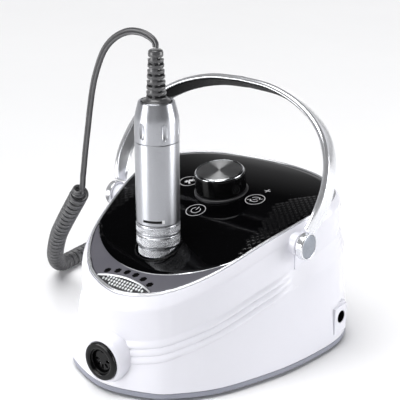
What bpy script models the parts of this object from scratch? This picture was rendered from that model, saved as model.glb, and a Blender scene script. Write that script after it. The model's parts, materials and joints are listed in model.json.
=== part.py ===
"""Electric nail drill: teardrop control box, carrying handle, speed knob, handpiece and curly cord.

Every figure below is in millimetres unless its name ends in _DEG.  The nose with the five pin
socket faces -Y, the wide end faces +Y and the box stands on four rubber feet at z = 0.
"""
import math

import bmesh
import bpy
import numpy as np
from mathutils import Matrix, Vector

MM = 0.001
GAP = 0.3

# Control box: (y, half width) stations of the top rim and of the bottom edge, nose to back
RIM_STATIONS = ((-77.0, 0.0), (-72.0, 22.0), (-62.0, 36.5), (-43.0, 50.0), (-14.0, 60.0), (10.0, 67.0),
                (30.0, 70.3), (44.0, 68.8), (57.0, 62.0), (70.0, 46.0), (77.0, 25.0), (79.5, 0.0))
BASE_STATIONS = ((-91.0, 0.0), (-82.0, 31.0), (-70.0, 45.0), (-52.0, 58.0), (-24.0, 69.0), (0.0, 75.3),
                 (32.0, 79.0), (52.0, 77.0), (68.0, 68.5), (81.0, 50.0), (89.0, 26.0), (91.0, 0.0))
CENTRE_Y = 5.0
COLUMNS = 48
SHELL_BOTTOM = 5.8
WALL = 2.6
# Top surface z = TOP_Z + TOP_SLOPE (y - TOP_Y) - TOP_BEND (y - TOP_Y)^2
TOP_Z = 91.3
TOP_Y = 10.0
TOP_SLOPE = 0.228
TOP_BEND = 0.00159
BAND_TOP = 25.0
BAND_BOTTOM = 36.5
RIDGES = 3
LEDGE = 3.2
PANEL_THICK = 2.9
TRIM_SHARE = -0.10
PANEL_SHARE = -0.13

# Nose furniture
PANEL_FRONT_R = 66.5
PANEL_FRONT_Y = 6.2
LENS_R = 57.5
LENS_TOP_Y = -66.6
LENS_HALF = 22.5
SLOT_PITCH = 6.6
SLOT_SIZE = (2.2, 3.2)
SLOT_Y = -63.3
DIN_Z = 20.4
DIN_FACE_Y = -91.5
DIN_FLANGE_R = 11.7
DIN_BORE_R = 7.3

# Rear jacks
JACK_Y = 44.0
JACK_Z = 20.8
JACK_R = 4.2
JACK_FACE_X = 79.3

# Base and feet
BASE_BOTTOM = 2.2
BASE_TOP = 5.5
BOARD_Z = 10.0
POST_SPOTS = ((-34.0, 10.0), (34.0, 10.0), (-34.0, 62.0), (34.0, 62.0))
FOOT_R = 7.0
FOOT_SPOTS = ((-50.0, 58.0), (50.0, 58.0), (-38.0, -50.0), (38.0, -50.0))
SCREW_SPOTS = ((-62.0, 34.0), (62.0, 34.0), (-48.0, -26.0), (48.0, -26.0))

# Carrying handle: (x, height along the lean) stations of the band's middle line
PIVOT_Y = 5.2
PIVOT_Z = 80.5
LEAN_DEG = 28.0
HANDLE_STATIONS = ((75.3, 9.2), (77.6, 17.0), (78.9, 27.0), (78.3, 38.0), (75.0, 51.0), (67.5, 64.5),
                   (56.0, 75.0), (41.0, 83.0), (22.0, 88.3), (0.0, 89.8))
BAND_THICK = 3.4
BAND_WIDTHS = ((9.0, 10.0), (22.0, 13.4), (42.0, 12.6), (62.0, 13.8), (87.0, 17.0), (92.0, 17.0))
HUB_R = 8.2
HUB_INNER_X = 73.2
HUB_OUTER_X = 78.0
BOSS_FACE_X = 71.9
BOSS_R = 6.8
BUSH_R = 3.6
PIN_R = 2.5

# Speed knob
KNOB_Y = 22.6
KNOB_TILT_DEG = 9.0
KNOB_R = 16.2
KNOB_H = 13.2
SHAFT_R = 3.0

# Handpiece, standing nose down in its hole
HP_Y = -39.0
HP_R = 13.0
HP_TOP = 164.9
HP_SHOULDER = 155.7
HP_SEAM = 141.5
HP_BODY_BOTTOM = 92.4
COLLAR_TOP = 92.1
COLLAR_BOTTOM = 77.9
NOSE_TOP = 77.6
NOSE_RING_BOTTOM = 72.2
NOSE_TIP = 46.0
WELL_FLOOR = 37.0
WELL_TOP = 65.5
WELL_R = 14.2
FLUTES = 6
MARK_SLOTS = 3
RELIEF_TOP = 194.0

# Cord
CORD_D = 4.0
COIL_D = 12.6
LEAD_ROUTE = ((0.0, -39.0, 195.1), (0.0, -39.0, 196.9), (-2.4, -39.0, 199.6), (-8.2, -39.0, 201.8),
              (-13.8, -39.0, 202.4), (-20.0, -39.0, 201.8), (-27.0, -39.0, 199.2), (-33.5, -39.0, 195.0),
              (-38.8, -39.0, 189.6), (-43.2, -39.0, 182.5), (-48.6, -39.0, 169.5), (-52.4, -39.0, 154.5),
              (-55.4, -39.0, 139.0), (-58.2, -39.0, 124.5), (-60.6, -39.0, 110.5), (-61.3, -39.0, 107.0),
              (-62.4, -38.5, 100.6))
HANG_ROUTE = ((-63.5, -38.0, 98.6), (-70.0, -35.8, 90.0), (-79.7, -32.0, 79.3), (-93.1, -26.0, 65.2),
              (-107.0, -19.0, 50.3), (-119.0, -11.0, 36.0), (-129.5, -2.5, 23.5), (-137.5, 7.0, 13.0),
              (-142.5, 16.5, 7.6), (-144.5, 27.0, 6.6))
FLOOR_ROUTE = ((-144.8, 28.6, 6.6), (-146.0, 42.0, 6.6), (-146.5, 58.0, 6.6), (-141.0, 74.0, 6.6),
               (-129.0, 88.0, 6.6),
               (-112.0, 98.0, 6.6), (-94.0, 104.5, 6.6), (-76.0, 108.0, 6.6))
TAIL_ROUTE = ((-74.6, 107.5, 5.6), (-68.0, 109.8, 3.2), (-60.0, 112.0, 2.3), (-48.0, 114.4, 2.3),
              (-34.0, 116.0, 2.6), (-24.0, 116.6, 5.2), (-16.0, 116.8, 7.6), (-10.5, 116.8, 7.9))
PLUG_START_X = -10.0
PLUG_Y = 116.8
PLUG_Z = 7.9

PARTS = "electric_nail_drill"
GUIDES = "construction"


# ---------------------------------------------------------------- set up and materials
def clear_scene():
    for item in list(bpy.data.objects):
        bpy.data.objects.remove(item, do_unlink=True)


def collection(name):
    found = bpy.data.collections.get(name)
    if found is None:
        found = bpy.data.collections.new(name)
        bpy.context.scene.collection.children.link(found)
    return found


def material(name, colour, rough, metal=0.0, coat=0.0):
    mat = bpy.data.materials.new(name)
    mat.use_nodes = True
    shader = mat.node_tree.nodes["Principled BSDF"]
    shader.inputs["Base Color"].default_value = (*colour, 1.0)
    shader.inputs["Roughness"].default_value = rough
    shader.inputs["Metallic"].default_value = metal
    shader.inputs["Coat Weight"].default_value = coat
    return mat


# ---------------------------------------------------------------- outlines and surfaces
def smooth_path(points, per_span):
    """Catmull-Rom curve through the points, ends held."""
    pts = [np.array(p, float) for p in points]
    pts = [2 * pts[0] - pts[1]] + pts + [2 * pts[-1] - pts[-2]]
    out = []
    for k in range(1, len(pts) - 2):
        a, b, c, d = pts[k - 1:k + 3]
        for step in range(per_span):
            t = step / per_span
            out.append(0.5 * (2 * b + (c - a) * t + (2 * a - 5 * b + 4 * c - d) * t * t
                              + (3 * b - a - 3 * c + d) * t ** 3))
    out.append(pts[-2])
    return np.array(out)


def polar_outline(stations):
    """Radius from the box centre at each column angle, measured from +Y towards +X."""
    right = [(x, y) for y, x in stations]
    left = [(-x, y) for x, y in reversed(right[1:-1])]
    ring = right + left
    loop = smooth_path(ring[-2:] + ring + ring[:3], 12)
    angle = np.arctan2(loop[:, 0], loop[:, 1] - CENTRE_Y) % (2 * math.pi)
    radius = np.hypot(loop[:, 0], loop[:, 1] - CENTRE_Y)
    order = np.argsort(angle)
    return lambda theta: np.interp(theta, angle[order], radius[order], period=2 * math.pi)


rim_radius = polar_outline(RIM_STATIONS)
base_radius = polar_outline(BASE_STATIONS)


def share_radius(theta, share):
    """Share 0 is the top rim outline and share 1 the bottom edge outline."""
    return (1 - share) * rim_radius(theta) + share * base_radius(theta)


def top_z(y):
    return TOP_Z + TOP_SLOPE * (y - TOP_Y) - TOP_BEND * (y - TOP_Y) ** 2


def spot(theta, radius, depth=None, z=None):
    x = radius * math.sin(theta)
    y = CENTRE_Y + radius * math.cos(theta)
    return (x, y, top_z(y) - depth if z is None else z)


def ray_to_circle(theta, centre_y, circle_r):
    """Far crossing of the ray from the box centre with a circle centred on x = 0."""
    dy = CENTRE_Y - centre_y
    along = dy * math.cos(theta)
    inside = along * along - dy * dy + circle_r * circle_r
    return -along + math.sqrt(max(inside, 0.0))


def lens_radius(theta):
    """Near crossing with the circle that bounds the grille on the panel side."""
    dy = CENTRE_Y - (LENS_TOP_Y - LENS_R)
    along = dy * math.cos(theta)
    inside = along * along - dy * dy + LENS_R * LENS_R
    if inside <= 0:
        return 1e6
    return -along - math.sqrt(inside)


# ---------------------------------------------------------------- object helpers
def finish(obj, mat, smooth=True):
    for holder in list(obj.users_collection):
        holder.objects.unlink(obj)
    collection(PARTS).objects.link(obj)
    if obj.type == "MESH":
        obj.data.materials.clear()
        if mat is not None:
            obj.data.materials.append(mat)
        for face in obj.data.polygons:
            face.use_smooth = smooth
        if smooth:
            obj.data.set_sharp_from_angle(angle=math.radians(35.0))
    return obj


def mesh_object(name, bm, mat, smooth=True):
    bmesh.ops.remove_doubles(bm, verts=bm.verts, dist=1e-6)
    bmesh.ops.recalc_face_normals(bm, faces=bm.faces)
    mesh = bpy.data.meshes.new(name)
    bm.to_mesh(mesh)
    bm.free()
    obj = bpy.data.objects.new(name, mesh)
    return finish(obj, mat, smooth)


def loft(name, rings, mat, closed_loft=False):
    """Skin a list of equal-length point rings given in millimetres."""
    bm = bmesh.new()
    rows = [[bm.verts.new(Vector(p) * MM) for p in ring] for ring in rings]
    count = len(rows[0])
    pairs = list(zip(rows, rows[1:]))
    if closed_loft:
        pairs.append((rows[-1], rows[0]))
    for a, b in pairs:
        for k in range(count):
            n = (k + 1) % count
            bm.faces.new((a[k], a[n], b[n], b[k]))
    if not closed_loft:
        bm.faces.new(list(reversed(rows[0])))
        bm.faces.new(rows[-1])
    return mesh_object(name, bm, mat)


def place(obj, matrix):
    obj.data.transform(matrix)
    obj.data.update()
    return obj


def turned(name, profile, mat, steps=32, matrix=None, closed=False):
    """Turn a (radius, z) profile about Z; a closed profile gives a ring."""
    bm = bmesh.new()
    verts = [bm.verts.new((r * MM, 0.0, z * MM)) for r, z in profile]
    for a, b in zip(verts, verts[1:]):
        bm.edges.new((a, b))
    if closed:
        bm.edges.new((verts[-1], verts[0]))
    bmesh.ops.spin(bm, geom=list(bm.verts) + list(bm.edges), cent=(0, 0, 0), axis=(0, 0, 1),
                   angle=2 * math.pi, steps=steps, use_merge=True)
    bmesh.ops.remove_doubles(bm, verts=bm.verts, dist=2e-6)
    thin = [e for e in bm.edges if e.calc_length() < 1e-9]
    bmesh.ops.dissolve_degenerate(bm, edges=thin, dist=1e-7)
    obj = mesh_object(name, bm, mat)
    if matrix is not None:
        place(obj, matrix)
    return obj


def at(x, y, z):
    return Matrix.Translation(Vector((x, y, z)) * MM)


def facing(point, axis):
    """Matrix that takes +Z onto the axis with its origin at the point."""
    turn = Vector((0, 0, 1)).rotation_difference(Vector(axis)).to_matrix().to_4x4()
    return at(*point) @ turn


def disc(name, radius, height, mat, matrix, chamfer=0.0, steps=24):
    c = chamfer
    profile = [(0, height), (radius - c, height), (radius, height - c), (radius, c), (radius - c, 0),
               (0, 0)]
    if c == 0.0:
        profile = [(0, height), (radius, height), (radius, 0), (0, 0)]
    return turned(name, profile, mat, steps, matrix)


def box(name, low, high, mat, matrix=None, bevel=0.0):
    bm = bmesh.new()
    bmesh.ops.create_cube(bm, size=1.0)
    size = [(h - l) * MM for l, h in zip(low, high)]
    mid = [(h + l) * MM / 2 for l, h in zip(low, high)]
    bmesh.ops.scale(bm, vec=size, verts=bm.verts)
    bmesh.ops.translate(bm, vec=mid, verts=bm.verts)
    if bevel:
        bmesh.ops.bevel(bm, geom=list(bm.edges), offset=bevel * MM, segments=2, affect="EDGES")
    obj = mesh_object(name, bm, mat, smooth=False)
    if matrix is not None:
        place(obj, matrix)
    return obj


def cutter(obj):
    for holder in list(obj.users_collection):
        holder.objects.unlink(obj)
    collection(GUIDES).objects.link(obj)
    obj.hide_render = True
    obj.display_type = "WIRE"
    return obj


def combine(target, other, operation):
    mod = target.modifiers.new(operation.lower(), "BOOLEAN")
    mod.operation = operation
    mod.solver = "EXACT"
    mod.object = cutter(other)


def cut(target, other):
    combine(target, other, "DIFFERENCE")


def join(target, other):
    combine(target, other, "UNION")


def tube(name, route, diameter, spacing, mat, resolution=2):
    """Filled tube along a smooth curve through the route points."""
    dense = smooth_path(route, 24)
    reach = np.concatenate(([0.0], np.cumsum(np.linalg.norm(np.diff(dense, axis=0), axis=1))))
    count = max(4, int(round(reach[-1] / spacing)) + 1)
    marks = np.linspace(0.0, reach[-1], count)
    curve = bpy.data.curves.new(name, "CURVE")
    curve.dimensions = "3D"
    curve.bevel_depth = diameter * MM / 2
    curve.bevel_resolution = resolution
    curve.use_fill_caps = True
    line = curve.splines.new("POLY")
    line.points.add(count - 1)
    for k, mark in enumerate(marks):
        spot_mm = [np.interp(mark, reach, dense[:, axis]) for axis in range(3)]
        line.points[k].co = (*(v * MM for v in spot_mm), 1.0)
    obj = bpy.data.objects.new(name, curve)
    curve.materials.append(mat)
    collection(PARTS).objects.link(obj)
    return obj


# ---------------------------------------------------------------- control box
def band_fade(theta):
    """Ridges run along the nose and sides, die out under the pivots and return at the back."""
    y = CENTRE_Y + share_radius(theta, 0.4) * math.cos(theta)
    if y < 0:
        return min(1.0, -y / 12.0)
    return min(1.0, max(0.0, (y - 44.0) / 14.0))


def housing_rows():
    """(share, depth below the top surface, ridge height) for the outer skin down to the band's foot."""
    rows = [(0.055, 0.3, 0), (0.30, 4.6, 0), (0.35, 6.0, 0), (0.36, 7.5, 0), (0.36, BAND_TOP - 0.8, 0)]
    pitch = (BAND_BOTTOM - BAND_TOP) / RIDGES
    for k in range(RIDGES):
        top = BAND_TOP + k * pitch
        share = 0.37 + 0.08 * k
        rows.append((share, top, 0.0))
        rows.append((share + 0.02, top + 0.25 * pitch, 0.9))
        rows.append((share + 0.05, top + 0.75 * pitch, 0.9))
    rows.append((0.61, BAND_BOTTOM, 0.0))
    return rows


def housing_shell(mat):
    thetas = [2 * math.pi * k / COLUMNS for k in range(COLUMNS)]
    rings = []
    for share, depth, ridge in housing_rows():
        rings.append([spot(t, share_radius(t, share) + ridge * band_fade(t), depth) for t in thetas])
    foot = rings[-1]
    for share, part in ((0.76, 0.4), (0.90, 0.75), (0.985, 0.97), (0.98, 1.0)):
        ring = []
        for t, below in zip(thetas, foot):
            z = below[2] + (SHELL_BOTTOM - below[2]) * part
            ring.append(spot(t, share_radius(t, share), z=z))
        rings.append(ring)
    rings.append([spot(t, share_radius(t, 1.0) - WALL, z=SHELL_BOTTOM) for t in thetas])
    for share, depth in ((0.61, BAND_BOTTOM), (0.36, BAND_TOP - 2.0), (0.34, 8.5)):
        rings.append([spot(t, share_radius(t, share) - WALL, depth) for t in thetas])
    for share, depth in ((-0.26, LEDGE + 2.2), (-0.26, LEDGE), (0.055, LEDGE)):
        rings.append([spot(t, share_radius(t, share), depth) for t in thetas])
    shell = loft("housing_shell", rings, mat, closed_loft=True)
    nose = facing((0, DIN_FACE_Y + 16.0, DIN_Z), (0, -1, 0))
    boss = turned("din_boss", [(0, 15.2), (12.9, 15.2), (13.9, 14.4), (15.4, 8.0), (16.2, 1.5), (0, 1.5)],
                  mat, 32,
                  nose)
    cut(boss, box("boss_foot", (-30, -100, -10), (30, -60, SHELL_BOTTOM), None))
    join(shell, boss)
    bore = facing((0, DIN_FACE_Y + 25.0, DIN_Z), (0, -1, 0))
    seat = DIN_FLANGE_R + GAP
    cut(shell, turned("din_bore", [(0, 30), (seat, 30), (seat, 22.6), (10.0, 22.6), (10.0, 0), (0, 0)],
                      None, 32,
                      bore))
    for side in (-1, 1):
        boss = disc(f"pivot_boss_{side}", BOSS_R, BOSS_FACE_X - 67.2, mat,
                    facing((side * 67.2, PIVOT_Y, PIVOT_Z), (side, 0, 0)))
        join(shell, boss)
        cut(shell, disc(f"pivot_hole_{side}", BUSH_R + GAP, 30.0, None,
                        facing((side * 55.0, PIVOT_Y, PIVOT_Z), (side, 0, 0)), steps=20))
        low = (min(side * 74.0, side * JACK_FACE_X), JACK_Y - 9.0, 9.0)
        high = (max(side * 74.0, side * JACK_FACE_X), JACK_Y + 8.0, 30.0)
        join(shell, box(f"jack_pad_{side}", low, high, mat, bevel=1.2))
        cut(shell, disc(f"jack_hole_{side}", JACK_R + GAP, 40.0, None,
                        facing((side * 55.0, JACK_Y, JACK_Z), (side, 0, 0)), steps=24))
    return shell


def base_plate(mat, screw_mat, rubber):
    thetas = [2 * math.pi * k / COLUMNS for k in range(COLUMNS)]
    rows = ((0.93, BASE_BOTTOM), (0.975, BASE_BOTTOM + 0.8), (0.975, BASE_TOP))
    rings = [[spot(t, share_radius(t, s), z=z) for t in thetas] for s, z in rows]
    plate = loft("base_plate", rings, mat)
    for k, (x, y) in enumerate(POST_SPOTS, 1):
        join(plate, disc(f"board_post_{k}", 2.6, BOARD_Z - GAP - BASE_TOP + 1.0, mat,
                         at(x, y, BASE_TOP - 1.0), steps=12))
    for k, (x, y) in enumerate(SCREW_SPOTS, 1):
        cut(plate, turned(f"screw_sink_{k}", [(0, 9.0), (1.8, 9.0), (1.8, 3.7), (3.3, 3.7), (3.3, 0.0),
                                              (0, 0)],
                          None, 16, at(x, y, 0)))
        turned(f"base_screw_{k}", [(0, 9.5), (1.5, 9.5), (1.5, 3.4), (3.0, 3.4), (3.0, 2.5), (0, 2.5)],
               screw_mat, 16, at(x, y, 0))
    for k, (x, y) in enumerate(FOOT_SPOTS, 1):
        disc(f"foot_{k}", FOOT_R, BASE_BOTTOM - GAP, rubber, at(x, y, 0), 0.5, 20)
    return plate


def panel_trim(mat):
    thetas = [2 * math.pi * k / COLUMNS for k in range(COLUMNS)]
    rows = ((0.025, LEDGE - GAP), (0.025, -0.1), (0.0, -0.4), (-0.07, -0.4), (TRIM_SHARE, -0.1),
            (TRIM_SHARE, LEDGE - GAP))
    rings = [[spot(t, share_radius(t, s), d) for t in thetas] for s, d in rows]
    return loft("panel_trim", rings, mat, closed_loft=True)


def panel_radius(theta):
    edge = share_radius(theta, PANEL_SHARE)
    if math.cos(theta) > 0.2:
        return edge
    return min(edge, ray_to_circle(theta, PANEL_FRONT_Y, PANEL_FRONT_R))


def control_panel(mat):
    thetas = [2 * math.pi * k / COLUMNS for k in range(COLUMNS)]
    bm = bmesh.new()
    sheets = []
    for depth in (0.0, PANEL_THICK):
        rows = [[bm.verts.new(Vector(spot(t, panel_radius(t) * f, depth)) * MM) for t in thetas]
                for f in (1.0, 0.75, 0.5, 0.25)]
        middle = bm.verts.new(Vector(spot(0, 0, depth)) * MM)
        sheets.append((rows, middle))
    for rows, middle in sheets:
        for a, b in zip(rows, rows[1:]):
            for k in range(COLUMNS):
                n = (k + 1) % COLUMNS
                bm.faces.new((a[k], a[n], b[n], b[k]))
        for k in range(COLUMNS):
            bm.faces.new((rows[-1][k], rows[-1][(k + 1) % COLUMNS], middle))
    top, bottom = sheets[0][0][0], sheets[1][0][0]
    for k in range(COLUMNS):
        n = (k + 1) % COLUMNS
        bm.faces.new((top[k], top[n], bottom[n], bottom[k]))
    panel = mesh_object("control_panel", bm, mat)
    cut(panel, disc("well_hole", HP_R + 0.7, 60.0, None, at(0, HP_Y, 40)))
    cut(panel, disc("seat_pocket", KNOB_R + 1.5, 8.0, None, knob_matrix(-1.3), steps=36))
    cut(panel, disc("shaft_hole", 4.2, 30.0, None, knob_matrix(-15.0), steps=20))
    return panel


def nose_strip(name, inner, outer, half_angle, mat, rows=5, columns=36):
    """Curved plate between two polar edges round the nose, cut square at its ends."""
    thetas = np.linspace(math.pi - half_angle, math.pi + half_angle, columns)
    rings = []
    for t in thetas:
        lo, hi = inner(t), outer(t)
        radii = np.linspace(lo, hi, rows)
        ring = [spot(t, r, 0.0) for r in radii] + [spot(t, r, PANEL_THICK) for r in radii[::-1]]
        rings.append(ring)
    return loft(name, rings, mat)


def nose_bezel(mat):
    def inner(t):
        return ray_to_circle(t, PANEL_FRONT_Y, PANEL_FRONT_R) + GAP

    def outer(t):
        return min(share_radius(t, PANEL_SHARE) - GAP, lens_radius(t) - GAP)

    half = next(a for a in np.arange(1.3, 0.3, -0.005)
                if share_radius(math.pi - a, PANEL_SHARE) - inner(math.pi - a) > 1.0)
    bezel = nose_strip("nose_bezel", inner, outer, half, mat, rows=4, columns=40)
    for k in range(6):
        offset = k - 2.5
        x = offset * SLOT_PITCH
        y = SLOT_Y - 0.07 * offset * offset - 0.15
        w, h = SLOT_SIZE
        slot = box(f"slot_{k}", (-w / 2, -h / 2, -8), (w / 2, h / 2, 8), None,
                   at(x, y, top_z(y)) @ Matrix.Rotation(math.radians(-18 - 3 * offset), 4, "Z"))
        cut(bezel, slot)
    return bezel


def vent_grille(mat):
    half = next(a for a in np.arange(0.5, 0.05, -0.002)
                if share_radius(math.pi - a, PANEL_SHARE) - lens_radius(math.pi - a) > 0.9)
    return nose_strip("vent_grille", lens_radius, lambda t: share_radius(t, PANEL_SHARE) - GAP, half, mat,
                      rows=4, columns=20)


# ---------------------------------------------------------------- sockets
def din_socket(black, metal):
    face = facing((0, DIN_FACE_Y, DIN_Z), (0, -1, 0))
    turned("din_flange", [(DIN_FLANGE_R - 0.6, 1.2), (DIN_FLANGE_R, 0.6), (DIN_FLANGE_R, -2.0), (9.7, -2.0),
                          (9.7, -18.0), (DIN_BORE_R + 0.9, -18.0), (DIN_BORE_R + 0.9, -8.0),
                          (DIN_BORE_R, -8.0), (DIN_BORE_R, 1.0), (DIN_BORE_R + 0.4, 1.4),
                          (DIN_FLANGE_R - 1.0, 1.4)], black, 26, face, closed=True)
    insert = disc("din_insert", DIN_BORE_R + 0.6, 2.9, black, face @ at(0, 0, -11.6))
    for k in range(5):
        a = math.radians(180 + 45 * k)
        cut(insert, disc(f"pin_hole_{k}", 0.9, 20.0, None,
                         face @ at(4.6 * math.cos(a), 4.6 * math.sin(a), -20), steps=10))
    turned("din_nut", [(10.0, -14.8), (13.2, -14.8), (13.2, -17.2), (10.0, -17.2)], metal, 24, face,
           closed=True)


def rear_jack(name, side, black, metal):
    face = facing((side * (JACK_FACE_X - 0.2), JACK_Y, JACK_Z), (side, 0, 0))
    turned(f"{name}_jack", [(0, -12.0), (JACK_R - 0.3, -12.0), (JACK_R - 0.3, -0.2), (JACK_R - 0.5, 0.1),
                            (3.7, 0.1), (3.5, -0.2), (3.5, -10.5), (0.9, -10.5), (0.9, -6.2), (0.5, -5.8),
                            (0, -5.8)], black, 18, face)


def electronics(board, dark, metal, can):
    box("main_board", (-38, 6, BOARD_Z), (38, 66, BOARD_Z + 1.6), board)
    deck = BOARD_Z + 1.6 + GAP
    box("power_coil", (-26, 34, deck), (-4, 56, deck + 17), dark, bevel=1.0)
    sink = box("heat_sink", (6, 40, deck), (34, 56, deck + 16), metal)
    for k in range(4):
        x = 9.5 + 6.0 * k
        cut(sink, box(f"fin_gap_{k}", (x, 39, deck + 3), (x + 3.2, 57, deck + 20), None))
    disc("filter_capacitor", 6.0, 20.0, can, at(-24, 20, deck), 0.6, 16)
    box("speed_driver", (0, 16, deck), (14, 26, deck + 4.5), dark)


def handpiece_well(mat):
    outer = WELL_R + 1.6
    foot = BASE_TOP + GAP
    turned("handpiece_well", [(0, WELL_FLOOR), (WELL_R - 0.8, WELL_FLOOR), (WELL_R, WELL_FLOOR + 1.5),
                              (WELL_R, WELL_TOP), (outer, WELL_TOP), (outer, foot), (WELL_R - 0.4, foot),
                              (WELL_R - 0.4, WELL_FLOOR - 2.4), (0, WELL_FLOOR - 2.4)], mat, 22,
           at(0, HP_Y, 0))


# ---------------------------------------------------------------- handle
def lean_point(x, reach, forward=0.0):
    """Handle coordinates: x, distance up the leaning plane, distance towards the front."""
    lean = math.radians(LEAN_DEG)
    return (x, PIVOT_Y + reach * math.sin(lean) - forward * math.cos(lean),
            PIVOT_Z + reach * math.cos(lean) + forward * math.sin(lean))


def band_line():
    half = smooth_path(HANDLE_STATIONS, 3)
    left = [(-x, h) for x, h in half[:-1]]
    return np.array(left + [tuple(p) for p in half[::-1]])


def band_section(line, k, width, inner, outer, soft):
    """Rounded rectangle across the band; inner and outer are offsets along its outward normal."""
    ahead = line[min(k + 1, len(line) - 1)] - line[max(k - 1, 0)]
    ahead = ahead / np.linalg.norm(ahead)
    normal = np.array((-ahead[1], ahead[0]))
    w = width / 2
    corners = ((-w, inner + soft), (-w + soft, inner), (w - soft, inner), (w, inner + soft),
               (w, outer - soft), (w - soft, outer), (-w + soft, outer), (-w, outer - soft))
    ring = []
    for across, off in corners:
        x, h = line[k] + normal * off
        ring.append(lean_point(x, h, across))
    return ring


def width_at(height):
    curve = smooth_path(BAND_WIDTHS, 6)
    return float(np.interp(height, curve[:, 0], curve[:, 1]))


def handle_parts(chrome, black, steel, plastic):
    line = band_line()
    t = BAND_THICK / 2
    rings = [band_section(line, k, width_at(p[1]), -t, t, 1.0) for k, p in enumerate(line)]
    loft("handle_band", rings, chrome)
    grip_rows = []
    for k, p in enumerate(line):
        if p[1] < 72.0:
            continue
        reach = min(1.0, (p[1] - 70.0) / 12.0)
        grip_rows.append(band_section(line, k, (width_at(p[1]) - 3.0) * reach ** 0.5, -t - GAP - 1.0,
                                      -t - GAP, 0.3))
    loft("handle_grip", grip_rows, black)
    for side, word in ((-1, "left"), (1, "right")):
        hub = facing((side * HUB_INNER_X, PIVOT_Y, PIVOT_Z), (side, 0, 0))
        thick = HUB_OUTER_X - HUB_INNER_X
        turned(f"handle_hub_{word}", [(0, thick), (HUB_R - 1.6, thick), (HUB_R - 0.5, thick - 0.35),
                                      (HUB_R, thick - 1.0), (HUB_R, 0.4), (HUB_R - 0.4, 0), (0, 0)], chrome,
               24, hub)
        bush = facing((side * (BOSS_FACE_X + GAP), PIVOT_Y, PIVOT_Z), (side, 0, 0))
        turned(f"pivot_bush_{word}", [(6.4, 0.7), (6.4, 0), (BUSH_R, 0), (BUSH_R, -6.4),
                                      (PIN_R + GAP, -6.4),
                                      (PIN_R + GAP, 0.7)], plastic, 20, bush, closed=True)
        pin = facing((side * 58.0, PIVOT_Y, PIVOT_Z), (side, 0, 0))
        length = HUB_INNER_X - GAP - 58.0
        turned(f"pivot_pin_{word}", [(0, length), (PIN_R, length), (PIN_R, 2.6), (4.2, 2.6), (4.2, 0),
                                     (0, 0)],
               steel, 16, pin)


# ---------------------------------------------------------------- knob
def knob_axis():
    tilt = math.radians(KNOB_TILT_DEG)
    return Vector((0, -math.sin(tilt), math.cos(tilt)))


def knob_matrix(rise):
    start = Vector((0, KNOB_Y, top_z(KNOB_Y))) + knob_axis() * rise
    return facing(tuple(start), knob_axis())


def knob_parts(black, spun, steel, dark):
    turned("knob_seat", [(KNOB_R + 0.4, 0.9), (KNOB_R + 1.1, 0.4), (KNOB_R + 1.1, -1.0), (6.0, -1.0),
                         (6.0, 0.9)],
           dark, 36, knob_matrix(0.0), closed=True)
    turned("knob", [(0, KNOB_H - 1.3), (KNOB_R - 2.0, KNOB_H - 1.3), (KNOB_R - 2.0, KNOB_H),
                    (KNOB_R - 0.9, KNOB_H),
                    (KNOB_R, KNOB_H - 0.9), (KNOB_R, 0.6), (KNOB_R - 0.5, 0), (KNOB_R - 2.4, 0),
                    (KNOB_R - 2.4, KNOB_H - 4.0), (6.4, KNOB_H - 4.0), (6.4, 2.4), (SHAFT_R + GAP, 2.4),
                    (SHAFT_R + GAP, KNOB_H - 3.6), (0, KNOB_H - 3.6)], black, 32, knob_matrix(1.2))
    turned("knob_cap", [(0, KNOB_H - 0.1), (KNOB_R - 2.6, KNOB_H - 0.1), (KNOB_R - 2.3, KNOB_H - 0.4),
                        (KNOB_R - 2.3, KNOB_H - 1.0), (0, KNOB_H - 1.0)], spun, 32, knob_matrix(1.2))
    disc("speed_shaft", SHAFT_R, 18.2, steel, knob_matrix(-8.0), 0.4, 20)
    turned("speed_control", [(0, -8.4), (SHAFT_R + GAP, -8.4), (SHAFT_R + GAP, -4.0), (7.6, -4.0),
                             (8.2, -4.6),
                             (8.2, -13.0), (0, -13.0)], dark, 24, knob_matrix(0.0))


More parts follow.
